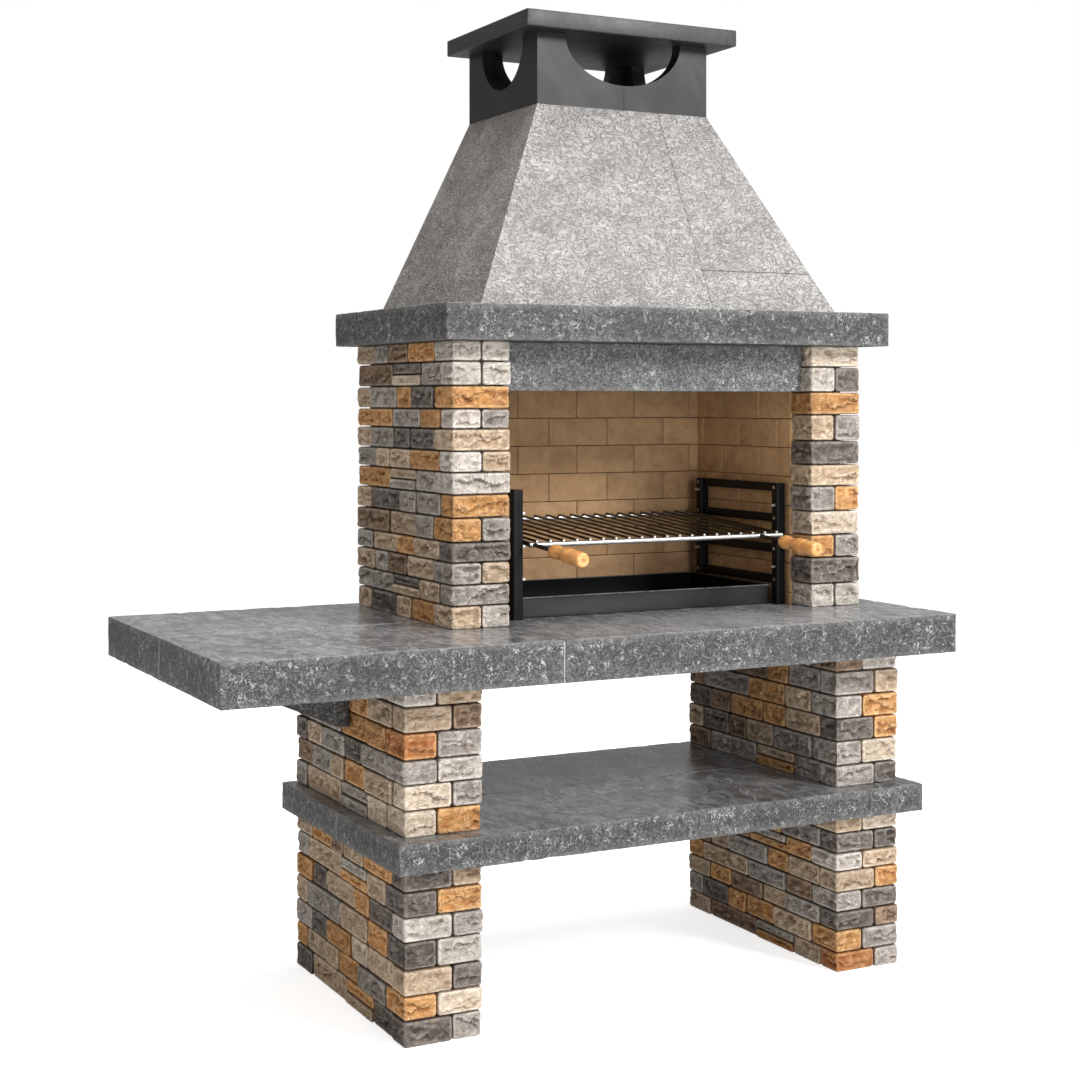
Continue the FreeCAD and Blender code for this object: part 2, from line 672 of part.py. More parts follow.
def grate():
    """Bars, rods and handles of the cooking grate."""
    bar = front_bar()
    rear_y = grate_depth - REAR_BAR_SIZE
    bottom = side_bar_top - REAR_BAR_SIZE
    rear_bar = block((-grate_half, rear_y, bottom), (grate_half, grate_depth, side_bar_top))
    side_bars = []
    for side in (-1, 1):
        x0 = min(side * grate_half, side * (grate_half - SIDE_BAR_WIDTH))
        side_bars.append(tilted(block((x0, 0, bottom), (x0 + SIDE_BAR_WIDTH, rear_y, side_bar_top)).cut(bar)))
    pitch = 2 * (grate_half - ROD_MARGIN) / (ROD_COUNT - 1)
    rods = []
    for i in range(ROD_COUNT):
        rod = stacked_solid(section(ROD_RADIUS, ROD_SIDES, -FRONT_BAR_RADIUS),
                            section(ROD_RADIUS, ROD_SIDES, grate_depth - REAR_BAR_SIZE / 2))
        rod.translate(vector(i * pitch - grate_half + ROD_MARGIN, 0, side_bar_top + ROD_RADIUS))
        rods.append(tilted(rod))
    handle_rods = []
    for name, x in (("left", LEFT_HANDLE_INSET - grate_half), ("right", grate_half - RIGHT_HANDLE_INSET)):
        rod = Part.makeCylinder(HANDLE_ROD_RADIUS, FRONT_BAR_RADIUS + HANDLE_ROD_LENGTH + HANDLE_TANG,
                                vector(x, 0, 0), vector(0, -1, 0))
        handle_rods.append(tilted(rod.cut(bar)))
        save(f"{name}_grate_handle", tilted(handle(x)))
    save("grate_handle_rods", *handle_rods)
    save("grate_rods", *rods)
    save("grate_side_bars", *side_bars)
    save("grate_rear_bar", tilted(rear_bar))
    save("grate_front_bar", tilted(bar))


# Charcoal tray

def tray_ring(inset, z):
    """Corners of the tray's plan at one level."""
    half = rack_inner - TRAY_SIDE_GAP - TRAY_RIM - inset
    y0 = cheek_y0 + TRAY_FRONT_SETBACK + TRAY_RIM + inset
    y1 = brick_y - TRAY_REAR_GAP - TRAY_RIM - inset
    return [vector(rack_axis - half, y0, z), vector(rack_axis + half, y0, z),
            vector(rack_axis + half, y1, z), vector(rack_axis - half, y1, z)]


def tray():
    """Folded steel tray with flared walls and a turned-out rim."""
    z_low = deck_z + SEAT_CLEARANCE
    z_high = z_low + TRAY_HEIGHT
    outer = stacked_solid(tray_ring(TRAY_FLARE, z_low), tray_ring(0.0, z_high))
    rim_z = z_high - TRAY_WALL
    rim = stacked_solid(tray_ring(-TRAY_RIM, rim_z), tray_ring(-TRAY_RIM, z_high))
    inner = stacked_solid(tray_ring(TRAY_FLARE + TRAY_WALL, z_low + TRAY_WALL), tray_ring(TRAY_WALL, z_high))
    save("charcoal_tray", outer.fuse(rim).cut(inner))


def main():
    """Build every piece from the ground up."""
    os.makedirs("parts", exist_ok=True)
    pier("lower_left_pier", left_pier_x, 0.0, LOWER_PIER_HEIGHT, LOWER_LEFT_COURSES, LOWER_LEFT_FRONTS)
    pier("lower_right_pier", right_pier_x, 0.0, LOWER_PIER_HEIGHT, LOWER_RIGHT_COURSES, LOWER_RIGHT_FRONTS)
    split_slab("shelf", left_pier_x - SHELF_SIDE_OVERHANG, right_pier_x + PIER_WIDTH + SHELF_SIDE_OVERHANG,
               pier_y0 - SHELF_FRONT_OVERHANG, pier_y1 + SHELF_REAR_OVERHANG, shelf_z, SHELF_THICKNESS, ())
    pier("upper_left_pier", left_pier_x, upper_pier_z, UPPER_PIER_HEIGHT, UPPER_LEFT_COURSES, UPPER_LEFT_FRONTS)
    pier("upper_right_pier", right_pier_x, upper_pier_z, UPPER_PIER_HEIGHT, UPPER_RIGHT_COURSES,
         UPPER_RIGHT_FRONTS)
    split_slab("worktop", worktop_x0, worktop_x1, worktop_y0, worktop_y1, worktop_z, WORKTOP_THICKNESS,
               (fire_x0,))
    corbel()
    cheek("left_cheek", fire_x0 - CHEEK_WIDTH, fire_x0, LEFT_CHEEK_COURSES, LEFT_CHEEK_FRONTS)
    cheek("right_cheek", fire_x1 + CHEEK_WIDTH, fire_x1, RIGHT_CHEEK_COURSES, RIGHT_CHEEK_FRONTS)
    firebox_lining()
    mantel()
    hood()
    chimney_cap()
    rack("left", -1)
    rack("right", 1)
    grate()
    tray()


main()
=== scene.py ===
"""Looks of a stone-faced masonry barbecue, dressed around its packed construction model."""
import logging
import math
from dataclasses import dataclass
from enum import Enum
from functools import cache

import bmesh
import bpy
import numpy as np
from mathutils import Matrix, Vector


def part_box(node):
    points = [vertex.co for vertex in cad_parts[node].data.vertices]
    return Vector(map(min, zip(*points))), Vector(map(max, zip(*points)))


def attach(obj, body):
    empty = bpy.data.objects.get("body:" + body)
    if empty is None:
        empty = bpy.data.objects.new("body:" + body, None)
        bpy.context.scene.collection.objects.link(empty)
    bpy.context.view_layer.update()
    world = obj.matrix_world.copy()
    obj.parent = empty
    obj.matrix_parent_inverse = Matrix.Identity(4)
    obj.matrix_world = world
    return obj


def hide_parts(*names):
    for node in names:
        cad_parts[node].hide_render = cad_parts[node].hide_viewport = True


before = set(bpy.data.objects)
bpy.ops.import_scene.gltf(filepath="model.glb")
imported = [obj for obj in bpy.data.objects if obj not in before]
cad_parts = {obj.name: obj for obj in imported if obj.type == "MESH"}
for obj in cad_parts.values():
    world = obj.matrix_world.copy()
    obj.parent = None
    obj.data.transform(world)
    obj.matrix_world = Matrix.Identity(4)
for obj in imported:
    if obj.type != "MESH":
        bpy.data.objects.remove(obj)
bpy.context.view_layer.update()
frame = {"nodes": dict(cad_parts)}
LOG = logging.getLogger("barbecue")

Colour = tuple[float, float, float]
Point = tuple[float, float, float]
Material = bpy.types.Material
Socket = bpy.types.NodeSocket
Value = float | Socket
AnyColour = Colour | Socket
Nodes = dict[str, bpy.types.Object]
Faces = list[tuple[int, ...]]
Array = np.ndarray

MASONRY = "masonry"
GRATE = "grate"
TRAY = "tray"
EDGE = "edge"
SHADE = "shade"
HOLLOW = "hollow"
SHARP = 38.0  # degrees between faces that still shade smooth
TOUCH = 2e-4  # metres within which a point lies on a plane
WELD = 1e-6  # metres within which two points are one
COARSE = 0.03  # spacing of points on smooth metal and on the lid
WHITE = (1.0, 1.0, 1.0)


# Shader helpers

class Graph:
    """Adds and links nodes in one shader tree."""

    def __init__(self, tree: bpy.types.NodeTree) -> None:
        """Keep the tree that the nodes go into."""
        self.tree = tree

    def fill(self, node: bpy.types.Node, values: dict) -> None:
        """Feed a node's inputs, by name or index, with constants or output sockets."""
        for key, value in values.items():
            socket = node.inputs[key]
            if isinstance(value, Socket):
                self.tree.links.new(value, socket)
            else:
                socket.default_value = (*value, 1.0) if socket.type == "RGBA" else value

    def node(self, kind: str, values: dict | None = None, **settings: object) -> bpy.types.Node:
        """Add one node.

        Args:
            kind: node type without its ShaderNode prefix, or a group's input and output nodes in full.
            values: input name or index to a constant or to an output socket.
            **settings: properties of the node, such as its blend type.

        Returns:
            The new node.
        """
        made = self.tree.nodes.new(kind if kind.startswith("Node") else "ShaderNode" + kind)
        for key, value in settings.items():
            setattr(made, key, value)
        self.fill(made, values or {})
        return made

    def math(self, operation: str, a: Value, b: Value = 0.0) -> Socket:
        """Return the result of one math operation on two values."""
        return self.node("Math", {0: a, 1: b}, operation=operation).outputs[0]

    def times(self, a: Value, b: Value) -> Socket:
        """Return a product."""
        return self.math("MULTIPLY", a, b)

    def rest(self, share: Value) -> Socket:
        """Return what a share leaves of 1."""
        return self.math("SUBTRACT", 1.0, share)

    def total(self, start: Value, *parts: tuple[Value, float]) -> Value:
        """Return a start value with parts added to it, each times its weight."""
        for value, weight in parts:
            start = self.math("ADD", start, self.times(value, weight))
        return start

    def blend(self, amount: Value, a: AnyColour, b: AnyColour, mode: str = "MIX") -> Socket:
        """Mix two colours.

        Args:
            amount: how much of the second colour shows.
            a: first colour.
            b: second colour.
            mode: blend type.

        Returns:
            The mixed colour's socket.
        """
        return self.node("Mix", {0: amount, 6: a, 7: b}, data_type="RGBA", blend_type=mode).outputs[2]

    def coats(self, ground: AnyColour, *coats: tuple[Value, float, AnyColour]) -> AnyColour:
        """Lay colours over a ground, one after the other.

        Args:
            ground: colour that lies below.
            *coats: mask, strength and colour of each coat.

        Returns:
            The covered colour.
        """
        for mask, strength, colour in coats:
            ground = self.blend(mask if strength == 1.0 else self.times(mask, strength), ground, colour)
        return ground

    def band(self, value: Value, low: Value, high: Value) -> Socket:
        """Return a soft step that runs from 0 at low to 1 at high."""
        return self.node("MapRange", {0: value, 1: low, 2: high}, interpolation_type="SMOOTHSTEP").outputs[0]

    def ramp(self, value: Socket, low: float, high: float) -> Socket:
        """Return low where a value is 0 and high where it is 1."""
        return self.node("MapRange", {0: value, 3: low, 4: high}).outputs[0]

    def noise(self, where: Socket, scale: Value, detail: float = 2.0, roughness: float = 0.5,
              distortion: float = 0.0, offset: Value = 0.0) -> Socket:
        """Return a 4-D noise value; offset moves to another piece of the pattern."""
        values = {"Vector": where, "Scale": scale, "Detail": detail, "Roughness": roughness,
                  "Distortion": distortion, "W": offset}
        return self.node("TexNoise", values, noise_dimensions="4D").outputs[0]

    def lines(self, value: Socket, width: Value) -> Socket:
        """Return thin lines where a noise value crosses its middle."""
        return self.rest(self.band(self.away(value, 0.5), 0.0, width))

    def away(self, value: Socket, middle: float) -> Socket:
        """Return how far a value is from a middle."""
        return self.math("ABSOLUTE", self.math("SUBTRACT", value, middle))

    def mapped(self, where: Socket, scale: Point, turn: float = 0.0, shift: Point = (0.0, 0.0, 0.0)) -> Socket:
        """Return coordinates that are scaled, turned about Y by degrees and then shifted."""
        return self.node("Mapping", {"Vector": where, "Scale": scale, "Location": shift,
                                     "Rotation": (0.0, math.radians(turn), 0.0)}).outputs[0]

    def attribute(self, name: str) -> Socket:
        """Return one of the values that the mesh's points carry."""
        return self.node("Attribute", attribute_name=name).outputs["Fac"]

    def part(self, vector: Socket, axis: str) -> Socket:
        """Return one part of a vector."""
        return self.node("SeparateXYZ", {0: vector}).outputs[axis]

    def facing(self, axis: str) -> Socket:
        """Return how far the surface looks along an axis."""
        return self.part(self.node("NewGeometry").outputs["Normal"], axis)

    def grain(self, where: Socket, cloud: float, grit: float, offset: Value = 0.0) -> bpy.types.bpy_prop_collection:
        """Place the mineral grain, with the scales of its clouds and grit, and return its outputs."""
        values = {"Vector": where, "Cloud Scale": cloud, "Grit Scale": grit, "Offset": offset}
        return self.node("Group", values, node_tree=mineral_grain()).outputs

    def flecks(self, where: Socket, scale: float, width: float, share: float, breakup: float = 1.2,
               offset: float = 0.0) -> Socket:
        """Place the squiggly flecks and return their mask."""
        values = {"Vector": where, "Scale": scale, "Width": width, "Share": share, "Break": breakup, "Offset": offset}
        return self.node("Group", values, node_tree=squiggle_flecks()).outputs["Mask"]

    def wear(self, where: Socket, scale: float, amount: float) -> Socket:
        """Place the rubbed edges, partly wear and on stones, bricks and the tray's rim partly a painted highlight,
        and return their mask.
        """
        values = {"Vector": where, "Scale": scale, "Amount": amount}
        return self.node("Group", values, node_tree=edge_wear_and_highlight()).outputs["Mask"]


# Node groups that more than one finish uses, each built once

def open_group(name: str, inputs: tuple[str, ...], outputs: tuple[str, ...]) -> tuple:
    """Open a group that takes coordinates and values.

    Args:
        name: the group's name.
        inputs: names of the values that it takes after the coordinates.
        outputs: names of its results.

    Returns:
        The group's graph, the sockets that it is given and the node that takes its results.
    """
    tree = bpy.data.node_groups.new(name, "ShaderNodeTree")
    tree.interface.new_socket("Vector", in_out="INPUT", socket_type="NodeSocketVector")
    for way, titles in (("INPUT", inputs), ("OUTPUT", outputs)):
        for title in titles:
            tree.interface.new_socket(title, in_out=way, socket_type="NodeSocketFloat")
    graph = Graph(tree)
    return graph, graph.node("NodeGroupInput").outputs, graph.node("NodeGroupOutput")


@cache
def squiggle_flecks() -> bpy.types.NodeTree:
    """Return the group of short squiggly flecks, as of fossils or crystals."""
    inputs = ("Scale", "Width", "Share", "Break", "Offset")
    graph, given, result = open_group("squiggle_flecks", inputs, ("Mask",))
    where, scale, offset = given["Vector"], given["Scale"], given["Offset"]
    thin = graph.lines(graph.noise(where, scale, 1.0, 0.5, 1.6, offset), given["Width"])
    patch = graph.noise(where, graph.times(scale, given["Break"]), 2.0, 0.6, 0.4, graph.math("ADD", offset, 7.0))
    floor = graph.math("SUBTRACT", 0.75, graph.times(given["Share"], 0.5))
    broken = graph.band(patch, floor, graph.math("ADD", floor, 0.08))
    graph.fill(result, {"Mask": graph.times(thin, broken)})
    return graph.tree


@cache
def mineral_grain() -> bpy.types.NodeTree:
    """Return the group of mottled tone and fine relief of a mineral surface."""
    inputs = ("Cloud Scale", "Grit Scale", "Offset")
    graph, given, result = open_group("mineral_grain", inputs, ("Cloud", "Grit", "Height"))
    cloud = graph.noise(given["Vector"], given["Cloud Scale"], 4.0, 0.6, 0.8, given["Offset"])
    grit = graph.noise(given["Vector"], given["Grit Scale"], 3.0, 0.65, 0.0, given["Offset"])
    graph.fill(result, {"Cloud": graph.band(cloud, 0.3, 0.7), "Grit": graph.band(grit, 0.35, 0.65),
                        "Height": graph.total(graph.times(cloud, 0.35), (grit, 0.65))})
    return graph.tree


@cache
def edge_wear_and_highlight() -> bpy.types.NodeTree:
    """Return the group of rubbed edges, a broken mask read from the mesh's edge values; on stones, bricks and the
    tray's rim it paints a highlight as well as wear.
    """
    graph, given, result = open_group("edge_wear_and_highlight", ("Scale", "Amount"), ("Mask",))
    breakup = graph.band(graph.noise(given["Vector"], given["Scale"], 4.0, 0.65), 0.3, 0.62)
    graph.fill(result, {"Mask": graph.times(graph.times(graph.attribute(EDGE), breakup), given["Amount"])})
    return graph.tree


# Finishes

@dataclass(frozen=True)
class Surface:
    """What a finish feeds its shader: values of the inputs, and a relief with its depth in metres."""

    values: dict[str, Value | Colour]
    height: Socket
    strength: float
    depth: float


@dataclass(frozen=True)
class Finish:
    """What every finish shares: a name, and a material with its Principled shader."""

    name: str

    def surface(self, graph: Graph, where: Socket) -> Surface:
        """Build the surface.

        Args:
            graph: the material's graph.
            where: coordinates in metres.

        Returns:
            What the shader is fed.
        """
        raise NotImplementedError

    def material(self) -> Material:
        """Return a new material with this surface."""
        material = bpy.data.materials.new(self.name)
        material.use_nodes = True
        graph = Graph(material.node_tree)
        made = self.surface(graph, graph.node("TexCoord").outputs["Object"])
        bump = graph.node("Bump", {"Height": made.height, "Strength": made.strength, "Distance": made.depth})
        graph.fill(material.node_tree.nodes["Principled BSDF"], {**made.values, "Normal": bump.outputs["Normal"]})
        return material


@dataclass(frozen=True)
class RockFinish(Finish):
    """Split facing stone in one tone."""

    base: Colour
    deep: Colour
    pale: Colour
    stain: Colour = (0.36, 0.22, 0.11)

    def surface(self, graph: Graph, where: Socket) -> Surface:
        """Return the stone's surface, shifted a little from stone to stone by its shade value."""
        shade = graph.attribute(SHADE)
        offset = graph.times(shade, 40.0)

        def noise(place: Socket, scale: float, detail: float, roughness: float, distortion: float,
                  shift: float = 0.0) -> Socket:
            """Return noise that starts elsewhere on each stone."""
            return graph.noise(place, scale, detail, roughness, distortion, graph.math("ADD", offset, shift))

        grain = graph.grain(where, 20.0, 420.0, offset)
        bedded = graph.mapped(where, (1.0, 1.0, 1.8))
        slanted = graph.mapped(where, (0.55, 0.55, 1.0), 24.0)
        # Painted shade: a darkened copy of the deep colour for the cracks and the hollows.
        crevice_shade = tuple(c * k for c, k in zip(self.deep, (0.55, 0.46, 0.40)))
        streak = graph.band(noise(where, 30.0, 3.0, 0.6, 1.0), 0.48, 0.66)
        stain = graph.band(noise(where, 26.0, 3.0, 0.6, 0.5, 13.0), 0.58, 0.74)
        patch = graph.band(noise(where, 20.0, 1.0, 0.5, 0.0, 5.0), 0.41, 0.53)
        vein = graph.times(graph.lines(noise(where, 17.0, 3.0, 0.55, 1.1), 0.026), patch)
        layers = noise(bedded, 16.0, 3.0, 0.55, 0.7, 21.0)
        split = graph.band(noise(where, 24.0, 1.0, 0.5, 0.0, 9.0), 0.50, 0.60)
        crack = graph.times(graph.lines(layers, 0.011), split)
        wrinkle = graph.lines(noise(bedded, 30.0, 2.0, 0.5, 1.2, 27.0), 0.050)
        hollow = graph.band(graph.attribute(HOLLOW), 0.10, 0.9)
        # Painted shade and highlight: the cracks and the hollow values, under the ledges and deep in the joints, take
        # the shade colour; the edge wear pales rims and ridges, partly as wear and partly as a painted highlight.
        worn = graph.coats(
            self.deep, (grain["Cloud"], 1.0, self.base), (streak, 0.45, self.pale), (stain, 0.38, self.stain),
            (vein, 0.7, self.pale), (grain["Grit"], 0.12, self.deep), (wrinkle, 0.22, self.pale),
            (crack, 0.32, crevice_shade), (hollow, 0.58, crevice_shade), (graph.wear(where, 55.0, 0.95), 1.0, self.pale))
        level = graph.ramp(shade, 0.86, 1.12)
        tint = graph.node("CombineColor", {0: level, 1: level, 2: level}).outputs[0]
        height = graph.total(
            0.0, (noise(slanted, 48.0, 3.0, 0.55, 0.9), 0.7), (noise(slanted, 170.0, 4.0, 0.62, 0.5), 0.16),
            (wrinkle, 0.30), (graph.band(layers, 0.49, 0.51), 0.30), (crack, -0.2))
        values = {"Base Color": graph.blend(1.0, worn, tint, "MULTIPLY"), "Specular IOR Level": 0.3,
                  "Roughness": graph.ramp(grain["Grit"], 0.78, 0.94)}
        return Surface(values, height, strength=1.0, depth=0.0062)


@dataclass(frozen=True)
class LimestoneFinish(Finish):
    """Dark limestone full of pale squiggly fossil flecks, finely ground on top with a painted sheen, and tooled on
    its edges.
    """

    base: Colour = (0.037, 0.037, 0.037)
    deep: Colour = (0.022, 0.022, 0.022)
    # Painted sheen: the pale, slightly blue colour of the up-facing faces, far lighter than the stone itself.
    honed_and_sheen: Colour = (0.328, 0.329, 0.337)
    fleck: Colour = (0.166, 0.165, 0.163)
    shell: Colour = (0.47, 0.47, 0.46)
    worn: Colour = (0.22, 0.22, 0.22)
    warm: Colour = (0.205, 0.170, 0.150)
    rubbed: Colour = (0.46, 0.435, 0.415)
    seams: tuple[tuple[float, float], ...] = ()

    def seam_haze(self, graph: Graph, where: Socket) -> Socket:
        """Return a mask of the grout that was rubbed into the stone along the long joints."""
        haze: Value = 0.0
        for level, line in self.seams:
            along = graph.rest(graph.band(graph.away(graph.part(where, "Y"), line), 0.002, 0.0065))
            near = graph.math("LESS_THAN", graph.away(graph.part(where, "Z"), level), 0.01)
            haze = graph.math("ADD", haze, graph.times(along, near))
        return graph.times(haze, graph.band(graph.noise(where, 21.0, 3.0, 0.6, 0.4, 8.0), 0.30, 0.55))

    def surface(self, graph: Graph, where: Socket) -> Surface:
        """Return the limestone's surface; faces that look up are finely ground, smoother and calmer, and painted far
        paler as a sheen, most of all in a painted pool in front of the firebox.
        """
        up = graph.band(graph.facing("Z"), 0.6, 0.9)
        side = graph.rest(up)
        grain = graph.grain(where, 7.0, 330.0)
        fine = graph.flecks(where, 74.0, 0.080, 0.92)
        bold = graph.flecks(where, 56.0, 0.055, 0.46, 0.9, 3.0)
        drawn = graph.mapped(where, (0.85, 0.42, 1.0))
        vein = graph.lines(graph.noise(drawn, 3.0, 5.0, 0.65, 0.5, 11.0), 0.0042)
        streak = graph.band(graph.noise(drawn, 31.0, 5.0, 0.66, 1.6, 2.0), 0.40, 0.62)
        cloudy = graph.band(graph.noise(drawn, 6.0, 4.0, 0.6, 0.8, 5.0), 0.36, 0.64)
        # Painted sheen: a soft round pool on the worktop in front of the firebox, where the tops are painted paler
        # still.
        ahead = graph.mapped(where, (1.8, 4.0, 2.0), shift=(-0.54, 1.2, -1.8))
        sheen_pool = graph.node("TexGradient", {"Vector": ahead}, gradient_type="SPHERICAL").outputs["Fac"]
        top_sheen = graph.total(0.17, (streak, 0.58), (cloudy, 0.26), (graph.band(sheen_pool, 0.0, 0.6), 0.34))
        honed_and_sheen = graph.coats(self.honed_and_sheen, (graph.rest(cloudy), 0.06, self.warm))
        shown = graph.times(graph.total(0.45, (grain["Cloud"], 0.55)), graph.total(0.16, (side, 0.80)))
        worn = graph.coats(
            self.deep, (grain["Cloud"], 1.0, self.base), (graph.times(up, top_sheen), 1.0, honed_and_sheen),
            (graph.times(fine, up), 0.36, self.deep), (graph.times(fine, shown), 1.0, self.fleck),
            (graph.times(bold, graph.total(shown, (up, 0.16))), 1.0, self.shell),
            (graph.times(vein, graph.total(0.08, (up, 0.6))), 1.0, self.shell),
            (graph.times(self.seam_haze(graph, where), up), 0.75, self.rubbed),
            (graph.wear(where, 70.0, 0.7), 1.0, self.worn))
        tooled = graph.times(grain["Height"], graph.math("ADD", 0.12, side))
        strokes = graph.times(graph.math("ADD", fine, bold), graph.total(0.05, (side, 0.22)))
        values = {"Base Color": worn, "Roughness": graph.total(0.18, (side, 0.36), (grain["Cloud"], 0.06)),
                  "Specular IOR Level": graph.ramp(up, 0.4, 0.55)}
        return Surface(values, graph.math("ADD", tooled, strokes), strength=0.7, depth=0.003)


@dataclass(frozen=True)
class GraniteFinish(Finish):
    """Light warm-grey granite with a bush-hammered face of small worm-like ridges."""

    base: Colour = (0.278, 0.266, 0.258)
    dark: Colour = (0.100, 0.093, 0.088)
    bright: Colour = (0.51, 0.495, 0.482)

    def surface(self, graph: Graph, where: Socket) -> Surface:
        """Return the granite's surface, a little darker towards the cap."""
        slant = graph.mapped(where, (0.75, 0.75, 1.05), 35.0)
        bed = graph.mapped(slant, (0.4, 1.0, 1.6))
        grain = graph.grain(slant, 6.0, 260.0)
        ridge = graph.flecks(slant, 60.0, 0.13, 1.0)
        groove = graph.flecks(slant, 54.0, 0.062, 0.90, offset=6.0)
        mottle = graph.band(graph.noise(slant, 17.0, 3.0, 0.6, 0.8, 3.0), 0.36, 0.66)
        broad = graph.band(graph.noise(bed, 7.0, 4.0, 0.62, 0.7, 9.0), 0.42, 0.64)
        upper = graph.band(graph.part(where, "Z"), 1.70, 2.25)
        # The ridge and groove coats are partly mineral tone and partly painted highlight and shade on the worm-like
        # relief.
        tone = graph.coats(
            self.base, (graph.total(0.0, (grain["Cloud"], 0.34), (mottle, 0.26)), 1.0, self.bright),
            (ridge, 0.42, self.bright), (groove, 0.50, self.dark),
            (graph.total(0.0, (broad, 0.20), (upper, 0.12)), 1.0, self.dark), (grain["Grit"], 0.16, self.dark))
        height = graph.total(graph.math("SUBTRACT", ridge, groove), (grain["Grit"], 0.12))
        values = {"Base Color": tone, "Roughness": graph.ramp(grain["Grit"], 0.62, 0.82)}
        return Surface(values, height, strength=0.9, depth=0.0030)


@dataclass(frozen=True)
class BrickFinish(Finish):
    """Matt buff firebrick, a little different from brick to brick."""

    base: Colour = (0.385, 0.228, 0.108)
    deep: Colour = (0.29, 0.163, 0.074)
    pale: Colour = (0.55, 0.36, 0.195)
    smoke: Colour = (0.19, 0.108, 0.052)

    def surface(self, graph: Graph, where: Socket) -> Surface:
        """Return the firebrick's surface."""
        shade = graph.attribute(SHADE)
        grain = graph.grain(where, 14.0, 380.0, graph.times(shade, 30.0))
        smoky = graph.band(graph.noise(where, 24.0, 4.0, 0.6, 0.8, graph.times(shade, 17.0)), 0.42, 0.70)
        craze = graph.lines(graph.noise(where, 34.0, 4.0, 0.6, 1.2, graph.times(shade, 23.0)), 0.022)
        worn = graph.coats(
            self.deep, (shade, 1.0, self.base), (smoky, 0.45, self.smoke), (grain["Cloud"], 0.55, self.pale),
            (craze, 0.4, self.smoke), (grain["Grit"], 0.22, self.deep),
            (graph.wear(where, 80.0, 0.45), 1.0, self.pale))
        values = {"Base Color": worn, "Roughness": graph.ramp(grain["Grit"], 0.80, 0.95)}
        return Surface(values, grain["Height"], strength=0.8, depth=0.0026)


@dataclass(frozen=True)
class MortarFinish(Finish):
    """Cement: the cores, the back panel and the grout."""

    base: Colour
    deep: Colour
    left_shade: Colour | None = None

    def surface(self, graph: Graph, where: Socket) -> Surface:
        """Return the cement's surface, with painted shade on its left faces where it has a left-shade tone."""
        grain = graph.grain(where, 11.0, 260.0)
        pore = graph.band(graph.noise(where, 95.0, 2.0, 0.6), 0.63, 0.70)
        tone = graph.coats(self.deep, (graph.total(0.55, (grain["Cloud"], 0.45)), 1.0, self.base),
                           (grain["Grit"], 0.35, self.deep))
        if self.left_shade:
            # Painted shade: faces that look left take the darker tone.
            tone = graph.blend(graph.math("LESS_THAN", graph.facing("X"), -0.7), tone, self.left_shade)
        tone = graph.coats(tone, (pore, 0.7, tuple(0.4 * c for c in self.deep)))
        height = graph.math("SUBTRACT", grain["Height"], pore)
        return Surface({"Base Color": tone, "Roughness": 0.92}, height, strength=0.7, depth=0.003)


@dataclass(frozen=True)
class PaintFinish(Finish):
    """Satin paint with a faint orange-peel skin and rubbed edges; rubbed at full strength, as on the tray's rim, they
    are a painted highlight.
    """

    base: Colour
    faded: Colour
    roughness: float
    sheen: float = 0.5
    wear_and_highlight: float = 0.35

    def surface(self, graph: Graph, where: Socket) -> Surface:
        """Return the paint's surface, dull where the mesh's hollow values mark soot."""
        grain = graph.grain(where, 4.0, 520.0)
        soot = graph.attribute(HOLLOW)
        # Pale colour of the rubbed edges; on the tray's rim it is a painted highlight.
        rubbed = tuple(min(1.0, 7.0 * c) for c in self.faded)
        tone = graph.coats(
            self.base, (grain["Cloud"], 0.55, self.faded), (graph.wear(where, 90.0, self.wear_and_highlight), 1.0, rubbed),
            (soot, 1.0, tuple(0.3 * c for c in self.base)))
        values = {"Base Color": tone, "Specular IOR Level": graph.ramp(soot, self.sheen, 0.02),
                  "Roughness": graph.ramp(grain["Cloud"], self.roughness - 0.06, self.roughness + 0.08)}
        return Surface(values, grain["Height"], strength=0.14, depth=0.0008)


@dataclass(frozen=True)
class SteelFinish(Finish):
    """Plated or bare steel, with bright sawn ends."""

    base: Colour
    stain: Colour
    roughness: float
    sawn: Colour = (0.86, 0.86, 0.85)

    def surface(self, graph: Graph, where: Socket) -> Surface:
        """Return the steel's surface."""
        grain = graph.grain(where, 30.0, 700.0)
        tone = graph.coats(self.base, (grain["Cloud"], 0.6, self.stain), (graph.attribute(EDGE), 1.0, self.sawn))
        values = {"Base Color": tone, "Metallic": 1.0,
                  "Roughness": graph.ramp(grain["Grit"], self.roughness, self.roughness + 0.12)}
        return Surface(values, grain["Height"], strength=0.1, depth=0.0004)


@dataclass(frozen=True)
class WoodFinish(Finish):
    """Honey-coloured varnished wood with grain along the handle."""

    base: Colour = (0.64, 0.285, 0.080)
    dark: Colour = (0.42, 0.150, 0.036)
    pale: Colour = (0.76, 0.390, 0.140)

    def surface(self, graph: Graph, where: Socket) -> Surface:
        """Return the wood's surface."""
        along = graph.mapped(where, (1.0, 0.09, 1.0))
        fibre = graph.noise(along, 420.0, 3.0, 0.6, 0.3)
        figure = graph.band(graph.noise(along, 120.0, 2.0, 0.5, 0.6, 4.0), 0.35, 0.65)
        tone = graph.coats(
            self.base, (figure, 1.0, self.pale), (graph.band(fibre, 0.5, 0.68), 0.55, self.dark),
            (graph.wear(where, 120.0, 0.8), 1.0, self.dark))
        values = {"Base Color": tone, "Roughness": 0.36, "Coat Weight": 0.5, "Coat Roughness": 0.15}
        return Surface(values, fibre, strength=0.12, depth=0.0005)


# Mesh helpers

BITE_WAVES = 34.0  # chips per metre of edge, the large ones
NIBBLE_WAVES = 120.0  # and the small ones
BEND_POINTS = 7  # points round a stone's corner
CALM = 1.7  # widths of the rounding over which a split face's relief fades in
MIN_RUN = 0.0005  # shortest run of a stone's face
CORNER_REACH = 0.02  # how far a run is drawn out to meet the next one
BED_STEP = 0.001  # least rise from one course to the next


